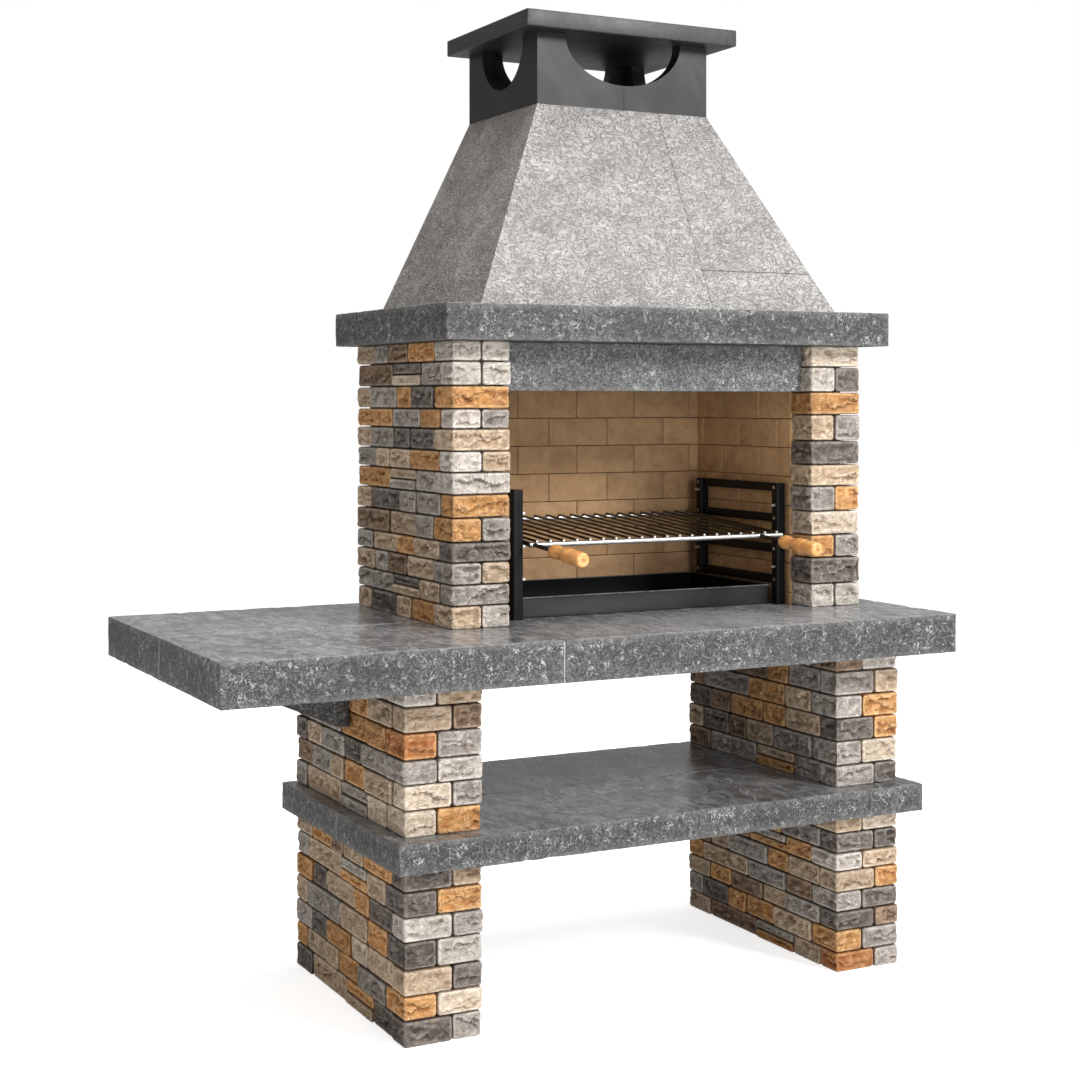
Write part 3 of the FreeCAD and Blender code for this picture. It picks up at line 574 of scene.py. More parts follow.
class ValueNoise:
    """Smooth seeded noise over a plane, between -1 and 1."""

    SIZE = 64

    def __init__(self, seed: int) -> None:
        """Draw the lattice for one seed."""
        self.table = np.random.default_rng(seed).random((self.SIZE, self.SIZE)) * 2.0 - 1.0

    def at(self, x: Array, y: Array) -> Array:
        """Return the noise at each pair of coordinates."""
        column, row = np.floor(x).astype(int), np.floor(y).astype(int)
        u, v = x - column, y - row
        u, v = u * u * (3.0 - 2.0 * u), v * v * (3.0 - 2.0 * v)
        size, table = self.SIZE, self.table
        a, b = table[column % size, row % size], table[(column + 1) % size, row % size]
        c, d = table[column % size, (row + 1) % size], table[(column + 1) % size, (row + 1) % size]
        return (a * (1 - u) + b * u) * (1 - v) + (c * (1 - u) + d * u) * v

    def fractal(self, x: Array, y: Array, octaves: int) -> Array:
        """Return the noise with finer octaves added at half strength each."""
        total = np.zeros_like(x)
        for octave in range(octaves):
            factor = 2.0 ** octave
            total += self.at(x * factor + 17.0 * octave, y * factor - 9.0 * octave) / factor
        return total


class MeshBuilder:
    """Collects the points, faces and per-point values of one piece."""

    def __init__(self) -> None:
        """Start with an empty mesh."""
        self.points: list[Point] = []
        self.faces: Faces = []
        self.slots: list[int] = []
        self.values: dict[str, list[float]] = {EDGE: [], HOLLOW: [], SHADE: []}

    def add(self, points: Array, faces: Faces, edge: Array | float = 0.0,
            hollow: Array | float = 0.0, shade: float = 0.5, slot: int = 0) -> "MeshBuilder":
        """Add one closed shell.

        Args:
            points: its points, one row each.
            faces: its faces as indices into those points.
            edge: how near each point is to a rubbed edge, 0 to 1; on stones, bricks and the tray's rim it also marks
                a painted highlight.
            hollow: how deep each point lies in a hollow of the face, 0 to 1; on stones it marks painted shade, on the
                tray soot.
            shade: tone of the whole shell, 0 to 1.
            slot: index of its material.

        Returns:
            The builder, for the next step.
        """
        first = len(self.points)
        self.points.extend(map(tuple, points.tolist()))
        self.faces.extend(tuple(first + i for i in face) for face in faces)
        for title, value in ((EDGE, edge), (HOLLOW, hollow), (SHADE, shade)):
            self.values[title].extend(np.broadcast_to(value, len(points)).tolist())
        self.slots.extend([slot] * len(faces))
        return self

    def piece(self, node: str, ending: str, body: str, slot: str, *materials: Material,
              smooth: bool = True) -> bpy.types.Object:
        """Turn the shells into one visible piece.

        Args:
            node: construction node that it stands for.
            ending: what its name adds to the node's.
            body: body that it moves with.
            slot: not used.
            *materials: materials in the order of the shells' slots.
            smooth: whether its faces are shaded smooth.

        Returns:
            The new object.
        """
        name = f"{node}_{ending}"
        mesh = bpy.data.meshes.new(name)
        mesh.from_pydata(self.points, [], self.faces)
        for title, values in self.values.items():
            mesh.attributes.new(title, "FLOAT", "POINT").data.foreach_set("value", values)
        for material in materials:
            mesh.materials.append(material)
        mesh.polygons.foreach_set("material_index", self.slots)
        mesh.polygons.foreach_set("use_smooth", [smooth] * len(self.faces))
        mesh.set_sharp_from_angle(angle=math.radians(SHARP))
        mesh.update()
        piece = bpy.data.objects.new(name, mesh)
        bpy.context.scene.collection.objects.link(piece)
        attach(piece, body)
        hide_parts(node)
        LOG.info("%s: %d faces", name, len(self.faces))
        return piece


def smoothed(values: Array, reach: int) -> Array:
    """Return a grid averaged over its neighbours up to reach steps away."""
    for axis in (0, 1):
        widths = [(reach, reach) if k == axis else (0, 0) for k in (0, 1)]
        padded = np.pad(values, widths, mode="edge")
        count = values.shape[axis]
        values = sum(padded.take(range(i, i + count), axis) for i in range(2 * reach + 1)) / (2 * reach + 1)
    return values


def islands(node: bpy.types.Object) -> list[Array]:
    """Return the points of each separate solid in a construction node, one array per solid."""
    shape = bmesh.new()
    shape.from_mesh(node.data)
    bmesh.ops.remove_doubles(shape, verts=shape.verts, dist=WELD)
    left = set(shape.verts)
    found = []
    while left:
        stack = [left.pop()]
        group = []
        while stack:
            vertex = stack.pop()
            group.append(tuple(node.matrix_world @ vertex.co))
            for link in vertex.link_edges:
                other = link.other_vert(vertex)
                if other in left:
                    left.remove(other)
                    stack.append(other)
        found.append(np.array(group))
    shape.free()
    return sorted(found, key=lambda p: tuple(np.round(p.min(axis=0)[[2, 1, 0]], 5)))


def corners(node: str) -> tuple[Array, Array]:
    """Return the lowest and the highest corner of a construction node."""
    low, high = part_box(node)
    return np.array(low), np.array(high)


def spaced(length: float, radius: float, step: float) -> Array:
    """Return coordinates from 0 to length, drawn together over the rounding at both ends."""
    radius = min(radius, 0.45 * length)
    ease = radius * np.array([0.0, 0.08, 0.3, 0.62])
    count = max(2, int(round((length - 2.0 * radius) / step)) + 1)
    middle = np.linspace(radius, length - radius, count)
    return np.concatenate([ease, middle, length - ease[::-1]])


def rounded_block(low: Array, high: Array, radius: float, step: float, wear: float, seed: int = 0,
                  chips: float = 0.0) -> tuple[Array, Faces, Array]:
    """Build a block with rounded and chipped edges.

    Args:
        low: lowest corner.
        high: highest corner.
        radius: rounding of the edges.
        step: spacing of the points on its faces.
        wear: width of the rubbed band along the edges.
        seed: seed of the chips.
        chips: depth of the deepest chips along the edges.

    Returns:
        Points, faces and edge values.
    """
    lines = [low[k] + spaced(high[k] - low[k], radius, step) for k in range(3)]
    counts = [len(line) for line in lines]
    index: dict[tuple[int, int, int], int] = {}
    grid: list[tuple[int, int, int]] = []

    def corner(key: tuple[int, int, int]) -> int:
        """Return the number of a grid point, new or met before."""
        if key not in index:
            index[key] = len(grid)
            grid.append(key)
        return index[key]

    faces = []
    for axis in range(3):
        u, v = (axis + 1) % 3, (axis + 2) % 3
        for end in (0, counts[axis] - 1):
            for i in range(counts[u] - 1):
                for j in range(counts[v] - 1):
                    quad = []
                    for di, dj in ((0, 0), (1, 0), (1, 1), (0, 1)):
                        key = [0, 0, 0]
                        key[axis], key[u], key[v] = end, i + di, j + dj
                        quad.append(corner(tuple(key)))
                    faces.append(tuple(quad if end else quad[::-1]))
    keys = np.array(grid)
    points = np.stack([lines[k][keys[:, k]] for k in range(3)], axis=1)
    gaps = np.sort(np.minimum(points - low, high - points), axis=1)[:, 1]
    inner = np.clip(points, low + radius, high - radius)
    away = points - inner
    unit = away / np.maximum(np.linalg.norm(away, axis=1), 1e-9)[:, None]
    rounded = inner + unit * radius
    edge = np.clip(1.0 - gaps / wear, 0.0, 1.0)
    if chips > 0.0:
        noise = ValueNoise(seed)
        along = points @ np.array([1.0, 0.83, 0.61])
        across = points @ np.array([-0.55, 0.72, 1.0])
        bite = np.clip(noise.fractal(along * BITE_WAVES, across * BITE_WAVES, 3) - 0.35, 0.0, 1.0)
        nibble = 0.25 * np.abs(noise.fractal(along * NIBBLE_WAVES, across * NIBBLE_WAVES, 2))
        rounded -= unit * (chips * (bite + nibble) * edge)[:, None]
    return rounded, faces, edge


def ring_faces(rings: int, size: int) -> Faces:
    """Return the faces of a closed solid made of rings, one after the other, of size points each."""
    faces = [tuple(range(size))[::-1], tuple(range((rings - 1) * size, rings * size))]
    for i in range(rings - 1):
        for j in range(size):
            k = (j + 1) % size
            faces.append((i * size + j, i * size + k, (i + 1) * size + k, (i + 1) * size + j))
    return faces


def lathe(centre: Array, axis: Array, profile: list[tuple[float, float]],
          sides: int) -> tuple[Array, Faces]:
    """Build a turned solid.

    Args:
        centre: point on the axis that the profile starts from.
        axis: unit direction of the axis.
        profile: distance along the axis and radius of each ring.
        sides: number of points round each ring.

    Returns:
        Points and faces of the closed solid.
    """
    across = np.cross(axis, (0.0, 0.0, 1.0) if abs(axis[2]) < 0.9 else (1.0, 0.0, 0.0))
    across /= np.linalg.norm(across)
    up = np.cross(axis, across)
    turns = np.linspace(0.0, 2.0 * math.pi, sides, endpoint=False)
    ring = np.cos(turns)[:, None] * across + np.sin(turns)[:, None] * up
    points = np.concatenate([centre + axis * along + ring * radius for along, radius in profile])
    return points, ring_faces(len(profile), sides)


def dress(nodes: Nodes, material: Material, *names: str) -> None:
    """Give construction nodes that show as they are their material."""
    for name in names:
        mesh = nodes[name].data
        mesh.materials.clear()
        mesh.materials.append(material)
        LOG.info("%s: construction shape with %s", name, material.name)


# Stone facing

class Tone(Enum):
    """Tones of the facing stones, by the letters of the laying plans."""

    PALE = "P"
    GREY = "G"
    DARK = "D"
    BUFF = "B"
    CREAM = "C"
    OCHRE = "O"
    RUST = "R"
    BROWN = "N"


class Side(Enum):
    """Upright faces of a wall, in the order that a walk round it meets them."""

    LEFT = 0
    FRONT = 1
    RIGHT = 2
    BACK = 3


ALL_ROUND = tuple(Side)
NOT_BACK = (Side.LEFT, Side.FRONT, Side.RIGHT)


@dataclass(frozen=True)
class Leg:
    """One straight run of a stone's outer face in plan."""

    start: tuple[float, float]
    end: tuple[float, float]

    @property
    def length(self) -> float:
        """Length of the run."""
        return math.dist(self.start, self.end)

    @property
    def along(self) -> Array:
        """Unit direction of the run."""
        return (np.array(self.end) - np.array(self.start)) / self.length

    @property
    def outward(self) -> Array:
        """Unit direction out of the wall."""
        return np.array([self.along[1], -self.along[0]])


@dataclass
class Facing:
    """Separate stones or bricks laid in courses in front of a core, with worked faces."""

    node: str
    sides: tuple[Side, ...]
    thickness: float = 0.031
    rounding: float = 0.0076
    crown: float = 0.0054
    step: float = 0.0036
    ledge: float = 0.0066
    swell: float = 0.0044
    spread: float = 0.0
    seed: int = 1

    def legs(self, stone: Array, low: Array, high: Array) -> list[Leg]:
        """Return the runs of a stone's outer face, in walking order round the wall.

        Args:
            stone: points of the stone in the construction model.
            low: lowest corner of the whole facing.
            high: highest corner of the whole facing.
        """
        planes = {Side.LEFT: (0, low[0]), Side.FRONT: (1, low[1]), Side.RIGHT: (0, high[0]),
                  Side.BACK: (1, high[1])}
        touched = []
        for side in self.sides:
            axis, level = planes[side]
            on = stone[np.abs(stone[:, axis] - level) < TOUCH]
            if len(on) and np.ptp(on[:, 1 - axis]) > MIN_RUN:
                touched.append(side)
        if Side.BACK in touched and Side.LEFT in touched:
            touched = [Side.BACK, Side.LEFT]
        found = []
        for side in touched:
            axis, level = planes[side]
            other = 1 - axis
            on = stone[np.abs(stone[:, axis] - level) < TOUCH][:, other]
            first, last = on.min(), on.max()
            for plane in (planes[neighbour][1] for neighbour in touched if planes[neighbour][0] == other):
                first = min(first, plane) if plane < first + CORNER_REACH else first
                last = max(last, plane) if plane > last - CORNER_REACH else last
            ends = [(level, first), (level, last)] if axis == 0 else [(first, level), (last, level)]
            found.append(Leg(*(ends[::-1] if side in (Side.LEFT, Side.BACK) else ends)))
        head, tail = found[0], found[-1]
        found[0] = Leg(tuple(np.array(head.start) - head.along * self.spread), head.end)
        found[-1] = Leg(found[-1].start, tuple(np.array(tail.end) + tail.along * self.spread))
        return found

    def outline(self, legs: list[Leg], corner: float) -> tuple[Array, Array, Array, Array]:
        """Return the sampled outer path of a stone.

        Args:
            legs: its runs.
            corner: rounding where two runs meet.

        Returns:
            Path lengths, points, outward directions and the points on the back of the stone.
        """
        total = sum(leg.length for leg in legs)
        marks = spaced(total, self.rounding, self.step)
        starts = np.cumsum([0.0] + [leg.length for leg in legs])
        bends = [np.linspace(-corner, corner, BEND_POINTS) + bend for bend in starts[1:-1]]
        for bend in starts[1:-1]:
            marks = marks[np.abs(marks - bend) > corner]
        marks = np.sort(np.concatenate([marks, *bends]))
        places, normals, backs = [], [], []
        for mark in marks:
            k = min(int(np.searchsorted(starts, mark, side="right")) - 1, len(legs) - 1)
            leg = legs[k]
            a = mark - starts[k]
            place, normal = np.array(leg.start) + leg.along * a, leg.outward
            for bend, (one, two) in zip(starts[1:-1], zip(legs, legs[1:])):
                if abs(mark - bend) <= corner:
                    turn = (mark - bend + corner) / (2.0 * corner) * math.pi / 2.0
                    centre = np.array(one.end) - one.outward * corner - two.outward * corner
                    normal = one.outward * math.cos(turn) + two.outward * math.sin(turn)
                    place = centre + normal * corner
            deep = self.thickness
            b = max(a, deep + 0.02 * a) if k > 0 else a
            if k < len(legs) - 1:
                rest = leg.length - b
                b = leg.length - max(rest, deep + 0.02 * rest)
            places.append(place)
            normals.append(normal)
            backs.append(np.array(leg.start) + leg.along * b - leg.outward * deep)
        return marks, np.array(places), np.array(normals), np.array(backs)

    def relief(self, along: Array, up: Array, rng: np.random.Generator) -> Array:
        """Return how far a split face stands out: soft swells and one or two ragged ledges."""
        noise = ValueNoise(int(rng.integers(1 << 30)))
        length, height = np.ptp(along), np.ptp(up)
        face = self.swell * (0.7 - 2.2 * np.abs(noise.fractal(along * 20.0, up * 27.0, 2)))
        face += 0.7 * self.swell * (0.4 - 1.6 * np.abs(noise.at(along * 46.0 + 7.0, up * 58.0)))
        face += 0.22 * self.swell * noise.fractal(along * 80.0, up * 100.0, 2)
        for row in range(1 + int(rng.random() < 6.0 * length) + int(length > 0.2)):
            middle = length * rng.uniform(0.15, 0.85)
            reach = max(0.025, min(0.07, length * rng.uniform(0.3, 0.6)))
            level = height * rng.uniform(0.3, 0.8) + rng.normal(0.0, 0.14) * (along - middle)
            level += 0.008 * noise.fractal(along * 40.0, np.full_like(along, 9.0 * row + 4.0), 3)
            fade = np.sqrt(np.clip(1.0 - ((along - middle) / reach) ** 2, 0.0, 1.0))
            under = np.maximum(level - up, 0.0)
            over = np.maximum(up - level, 0.0)
            drop = np.where(level > up, -np.exp(-under / 0.011), 0.35 * np.exp(-over / 0.009))
            face += self.ledge * rng.uniform(0.5, 1.15) * fade * drop
        return face

    def stone(self, legs: list[Leg], bottom: float, top: float,
              rng: np.random.Generator) -> tuple[Array, Faces, Array, Array]:
        """Build one stone.

        Args:
            legs: runs of its outer face.
            bottom: level of its lower bed.
            top: level of its upper bed.
            rng: seeded random numbers.

        Returns:
            Points, faces, edge values and hollow values of its closed shell.
        """
        radius = self.rounding
        marks, places, normals, backs = self.outline(legs, radius)
        rises = spaced(top - bottom, radius, self.step)
        s, z = np.meshgrid(marks, rises, indexing="ij")
        total, height = marks[-1], top - bottom
        q = np.clip(radius - np.minimum(s, total - s), 0.0, radius)
        w = np.clip(radius - np.minimum(z, height - z), 0.0, radius)
        reach = np.maximum(q, w)
        squeeze = np.where((q > 0.0) & (w > 0.0), reach / np.maximum(np.hypot(q, w), 1e-9), 1.0)
        slip = np.where(s < total / 2.0, q - q * squeeze, q * squeeze - q)
        lift = np.where(z < height / 2.0, w - w * squeeze, w * squeeze - w)
        depth = np.clip(reach / radius, 0.0, 1.0)
        inset = self.crown * (1.0 - np.sqrt(1.0 - depth ** 2))
        margin = np.minimum(np.minimum(s, total - s), np.minimum(z, height - z))
        free = np.clip(margin / (CALM * radius), 0.0, 1.0)
        arris = np.zeros_like(s)
        for bend in np.cumsum([leg.length for leg in legs])[:-1]:
            free *= np.clip(np.abs(s - bend) / (CALM * radius), 0.2, 1.0)
            arris = np.maximum(arris, np.clip(1.0 - np.abs(s - bend) / radius, 0.0, 1.0))
        split = self.relief(s, z, rng) * free
        out = split + rng.uniform(-0.5, 0.8) * self.swell - inset
        tangents = np.stack([-normals[:, 1], normals[:, 0]], axis=1)
        plan = places[:, None] + normals[:, None] * out[..., None] + tangents[:, None] * slip[..., None]
        front = np.concatenate([plan, (bottom + z + lift)[..., None]], axis=2)
        columns, rows = s.shape
        count = columns * rows
        rim = [i * rows for i in range(columns)] + [(columns - 1) * rows + j for j in range(1, rows)]
        rim += [i * rows + rows - 1 for i in range(columns - 2, -1, -1)] + list(range(rows - 2, 0, -1))
        rear = np.array([(*backs[i // rows], front[i // rows, i % rows, 2]) for i in rim])
        faces = [(i * rows + j, (i + 1) * rows + j, (i + 1) * rows + j + 1, i * rows + j + 1)
                 for i in range(columns - 1) for j in range(rows - 1)]
        for k, here in enumerate(rim):
            after = (k + 1) % len(rim)
            faces.append((rim[after], here, count + k, count + after))
        last = len(rim)
        lower = list(range(columns))
        upper = [columns + rows - 2 + columns - 1 - i for i in range(columns)]
        faces += [(count + lower[i + 1], count + lower[i], count + upper[i], count + upper[i + 1])
                  for i in range(1, columns - 2)]
        right = list(range(columns - 1, columns + rows - 1))
        left = [0] + [last - j for j in range(1, rows)]
        faces.append(tuple(count + k for k in [lower[-2], *right, upper[-2]])[::-1])
        faces.append(tuple(count + k for k in [upper[1], *left[::-1], lower[1]])[::-1])
        # Painted highlight and shade: the edge values pale the rims, the arris and the raised lips of the ledges,
        # partly as wear and partly as a painted highlight; the hollow values mark painted shade under the ledges and
        # deep in the joints.
        lifted = (split - smoothed(split, 2)) / max(0.5 * self.ledge, 0.001)
        wear_and_highlight = np.maximum(4.0 * depth * (1.0 - depth), np.maximum(0.8 * arris, np.clip(lifted, 0.0, 1.0)))
        ledge_and_joint_shade = np.maximum(np.clip(-lifted, 0.0, 1.0), np.clip(3.0 * depth - 2.0, 0.0, 1.0))
        edge = np.concatenate([wear_and_highlight.ravel(), np.zeros(last)])
        hollow = np.concatenate([ledge_and_joint_shade.ravel(), np.zeros(last)])
        return np.concatenate([front.reshape(-1, 3), rear]), faces, edge, hollow

    def build(self, nodes: Nodes, slot: str, materials: list[Material],
              plan: dict[tuple[int, int], int], flank: dict[tuple[int, int], int],
              others: list[int]) -> bpy.types.Object:
        """Lay every stone of the node.

        Args:
            nodes: the construction nodes.
            slot: name of the material slot, handed on to the piece.
            materials: the tones.
            plan: material index of the stones of the front, by course and place from the left.
            flank: material index of the stones of the left side, by course and place from the front.
            others: material indices that the other stones are drawn from.

        Returns:
            The finished piece.
        """
        rng = np.random.default_rng(self.seed)
        solids = islands(nodes[self.node])
        everything = np.concatenate(solids)
        low, high = everything.min(axis=0), everything.max(axis=0)
        builder = MeshBuilder()
        firsts = [tuple(np.round(solid.min(axis=0), 4).tolist()) for solid in solids]
        left, near = (low[:2] + TOUCH).tolist()
        fronts = sorted(first for first in firsts if first[1] < near)
        beds = sorted({first[2] for first in fronts})
        rows = [int(np.searchsorted(beds, first[2] + BED_STEP)) - 1 for first in firsts]
        sides = sorted((row, first[1:]) for row, first in zip(rows, firsts) if first[0] < left and first[1] > near)
        for solid, (x, y, z), row in zip(solids, firsts, rows):
            chosen = int(rng.choice(others))
            if y < near:
                place = [first[2] for first in fronts if first < (x, y, z)].count(z)
                chosen = plan.get((row, place), chosen)
            elif x < left:
                place = [side[0] for side in sides if side < (row, (y, z))].count(row)
                chosen = flank.get((row, place), chosen)
            bottom, top = float(solid[:, 2].min()) - self.spread, float(solid[:, 2].max()) + self.spread
            points, faces, edge, hollow = self.stone(self.legs(solid, low, high), bottom, top, rng)
            builder.add(points, faces, edge, hollow, float(rng.random()), chosen)
        return builder.piece(self.node, "worked", MASONRY, slot, *materials)


@dataclass(frozen=True)
class LayingPlan:
    """Tones of one wall's stones, course by course from the top down.

    A front runs from left to right, a flank back along the left side. Other stones come from a seeded mix.
    """

    node: str
    sides: tuple[Side, ...]
    front: str
    flank: str = ""


@dataclass(frozen=True)
class StoneWork:
    """Stone-faced piers and firebox cheeks."""

    side_mix: str = "PPGGDDBBBBBCCCNOOOOO"
    first_seed: int = 11
    walls: tuple[LayingPlan, ...] = (
        LayingPlan("lower_left_pier_stones", ALL_ROUND, "DB DO PG DP BD OC DG",
                   "OBNOB BOGBG DOBDO OBGBB BCODG GOBBO DBOBD"),
        LayingPlan("lower_right_pier_stones", ALL_ROUND, "BC DD PB BO GD DN OG RG",
                   "BGNOB GOBNB OOGNB BOGBN NGBOG GBNOB BOODG BOGNB"),
        LayingPlan("upper_left_pier_stones", ALL_ROUND, "PB BN RG GP CG CO",
                   "BOBGB BOODB OOGDB GDGBD BOBGN CGGBG"),
        LayingPlan("upper_right_pier_stones", ALL_ROUND, "NP GB GO DO GC GD",
                   "GGDNB GONGB BOGNB BOOND GBNDB GOBGN"),
        LayingPlan("left_cheek_stones", NOT_BACK, "PP PP O PG B PB P O OG D GB G BP",
                   "ONGB GCDN DOGB OGOG DDGB OBBG GGBO GGDB GBNB BOBG BNGB BBDG OBDB"),
        LayingPlan("right_cheek_stones", NOT_BACK, "C PD O BG D B GO C OG D PP"),
    )

    def build(self, nodes: Nodes, tones: dict[Tone, Material], core: Material) -> None:
        """Lay every wall's stones and dress the cores behind them.

        Args:
            nodes: the construction nodes.
            tones: material of each tone.
            core: material of the cores.
        """
        materials = [tones[tone] for tone in Tone]
        letters = {tone.value: i for i, tone in enumerate(Tone)}
        others = [letters[letter] for letter in self.side_mix]
        for seed, wall in enumerate(self.walls, self.first_seed):
            plan, flank = ({(row, place): letters[letter] for row, course in enumerate(reversed(courses.split()))
                            for place, letter in enumerate(course)} for courses in (wall.front, wall.flank))
            facing = Facing(wall.node, wall.sides, seed=seed)
            facing.build(nodes, "split_stone", materials, plan, flank, others)
        dress(nodes, core, *(name for name in nodes if name.endswith("_core")))


@dataclass(frozen=True)
class Slabs:
    """Worktop, shelf, lintel, mantel and bracket of dark limestone."""

    rounding: float = 0.0026
    step: float = 0.014
    wear: float = 0.005
    chips: float = 0.0045
    first_seed: int = 40
    border: float = 0.02
    bevel: float = 0.004
    plain: tuple[str, ...] = ("worktop_front_left_slab", "worktop_front_right_slab", "worktop_rear_left_slab",
                              "worktop_rear_right_slab", "shelf_front_slab", "shelf_rear_slab", "lintel", "mantel")

    def cut_throat(self, piece: bpy.types.Object, node: bpy.types.Object) -> None:
        """Open the smoke opening of the mantel where the construction model has it.

        Args:
            piece: the mantel's slab.
            node: the mantel in the construction model.
        """
        points = np.array([tuple(v.co) for v in node.data.vertices])
        low, high = points.min(axis=0)[:2] + self.border, points.max(axis=0)[:2] - self.border
        inside = points[((points[:, :2] > low) & (points[:, :2] < high)).all(axis=1)]
        near, far = inside.min(axis=0), inside.max(axis=0)
        shape = bmesh.new()
        shape.from_mesh(piece.data)
        for axis in (0, 1):
            for level in (near[axis], far[axis]):
                normal = Vector((axis == 0, axis == 1, 0))
                bmesh.ops.bisect_plane(shape, geom=[*shape.verts, *shape.edges, *shape.faces], dist=WELD,
                                       plane_co=normal * level, plane_no=normal)
        hole = []
        for face in shape.faces:
            middle = face.calc_center_median()
            if abs(face.normal.z) > 0.9 and near[0] < middle.x < far[0] and near[1] < middle.y < far[1]:
                hole.append(face)
        bmesh.ops.delete(shape, geom=hole, context="FACES")
        bmesh.ops.bridge_loops(shape, edges=[edge for edge in shape.edges if edge.is_boundary])
        bmesh.ops.recalc_face_normals(shape, faces=shape.faces)
        for edge in shape.edges:
            edge.smooth = edge.calc_face_angle(0.0) < 0.9
        shape.to_mesh(piece.data)
        shape.free()

    def bracket(self, node: bpy.types.Object, stone: Material) -> None:
        """Round the edges of the bracket under the overhang."""
        shape = bmesh.new()
        shape.from_mesh(node.data)
        bmesh.ops.remove_doubles(shape, verts=shape.verts, dist=WELD)
        bmesh.ops.dissolve_limit(shape, angle_limit=0.02, verts=shape.verts, edges=shape.edges)
        bmesh.ops.bevel(shape, geom=shape.edges, offset=self.bevel, segments=3, profile=0.5, affect="EDGES")
        bmesh.ops.triangulate(shape, faces=shape.faces)
        shape.verts.index_update()
        points = np.array([tuple(v.co) for v in shape.verts])
        faces = [tuple(v.index for v in face.verts) for face in shape.faces]
        shape.free()
        MeshBuilder().add(points, faces).piece("corbel", "worn", MASONRY, "dark_limestone", stone, smooth=False)

    def build(self, nodes: Nodes, stone: Material, lit_lintel_stone: Material, grout: Material) -> None:
        """Build every slab with worn edges, the lintel in a paler copy of the limestone that is painted light, and
        dress the grout between them.
        """
        for seed, name in enumerate(self.plain, self.first_seed):
            shell = rounded_block(*corners(name), self.rounding, self.step, self.wear, seed, self.chips)
            piece = MeshBuilder().add(*shell).piece(name, "worn", MASONRY, "dark_limestone",
                                                    lit_lintel_stone if name == "lintel" else stone)
            if name == "mantel":
                self.cut_throat(piece, nodes[name])
        self.bracket(nodes["corbel"], stone)
        dress(nodes, grout, "worktop_grout", "shelf_grout")


@dataclass(frozen=True)
class Firebox:
    """Firebrick lining of the firebox."""

    thickness: float = 0.028
    rounding: float = 0.0022
    step: float = 0.012
    swell: float = 0.0004
    spread: float = 0.0007
    first_seed: int = 70

    def build(self, nodes: Nodes, brick: Material, lit_side_brick: Material, core: Material) -> None:
        """Lay the bricks of the back and, in a paler copy that is painted light, of both sides."""
        walls = (("back_firebricks", Side.FRONT, brick), ("left_firebricks", Side.RIGHT, lit_side_brick),
                 ("right_firebricks", Side.LEFT, lit_side_brick))
        for seed, (node, side, batch) in enumerate(walls, self.first_seed):
            wall = Facing(node, (side,), self.thickness, self.rounding, self.rounding, self.step, 0.0, self.swell,
                          self.spread, seed)
            wall.build(nodes, "firebrick", [batch], {}, {}, [0])
        dress(nodes, core, "firebox_back_panel")


@dataclass(frozen=True)
class HoodAndCap:
    """Granite hood panels and the painted chimney cap."""

    rounding: float = 0.003
    wear: float = 0.006

    def build(self, nodes: Nodes, granite: Material, darker: Material, paint: Material, core: Material) -> None:
        """Dress the hood, its left panel in a darker copy of the granite that is painted shade, and the collar, and
        build the lid.
        """
        dress(nodes, granite, *(name for name in nodes if name.startswith("hood_") and name.endswith("_panel")))
        dress(nodes, darker, "hood_left_panel")
        dress(nodes, core, "hood_inner_shell")
        dress(nodes, paint, "cap_left_half", "cap_right_half")
        shell = rounded_block(*corners("cap_lid"), self.rounding, COARSE, self.wear)
        MeshBuilder().add(*shell).piece("cap_lid", "painted", MASONRY, "charcoal_paint", paint)


@dataclass(frozen=True)
class Racks:
    """Black steel posts, rungs and lugs on both sides of the grate."""

    rounding: float = 0.0014
    wear: float = 0.002

    def build(self, nodes: Nodes, black: Material, zinc: Material) -> None:
        """Build both racks from the construction model's own pieces."""
        for side in ("left", "right"):
            for part in ("front_post", "rear_post", "rungs"):
                node = f"{side}_rack_{part}"
                builder = MeshBuilder()
                solids = islands(nodes[node])
                for solid in solids if part == "rungs" else [np.concatenate(solids)]:
                    ends = solid.min(axis=0), solid.max(axis=0)
                    builder.add(*rounded_block(*ends, self.rounding, COARSE, self.wear))
                builder.piece(node, "painted", MASONRY, "black_steel", black)
            dress(nodes, zinc, f"{side}_rack_lugs", f"{side}_rack_screws")


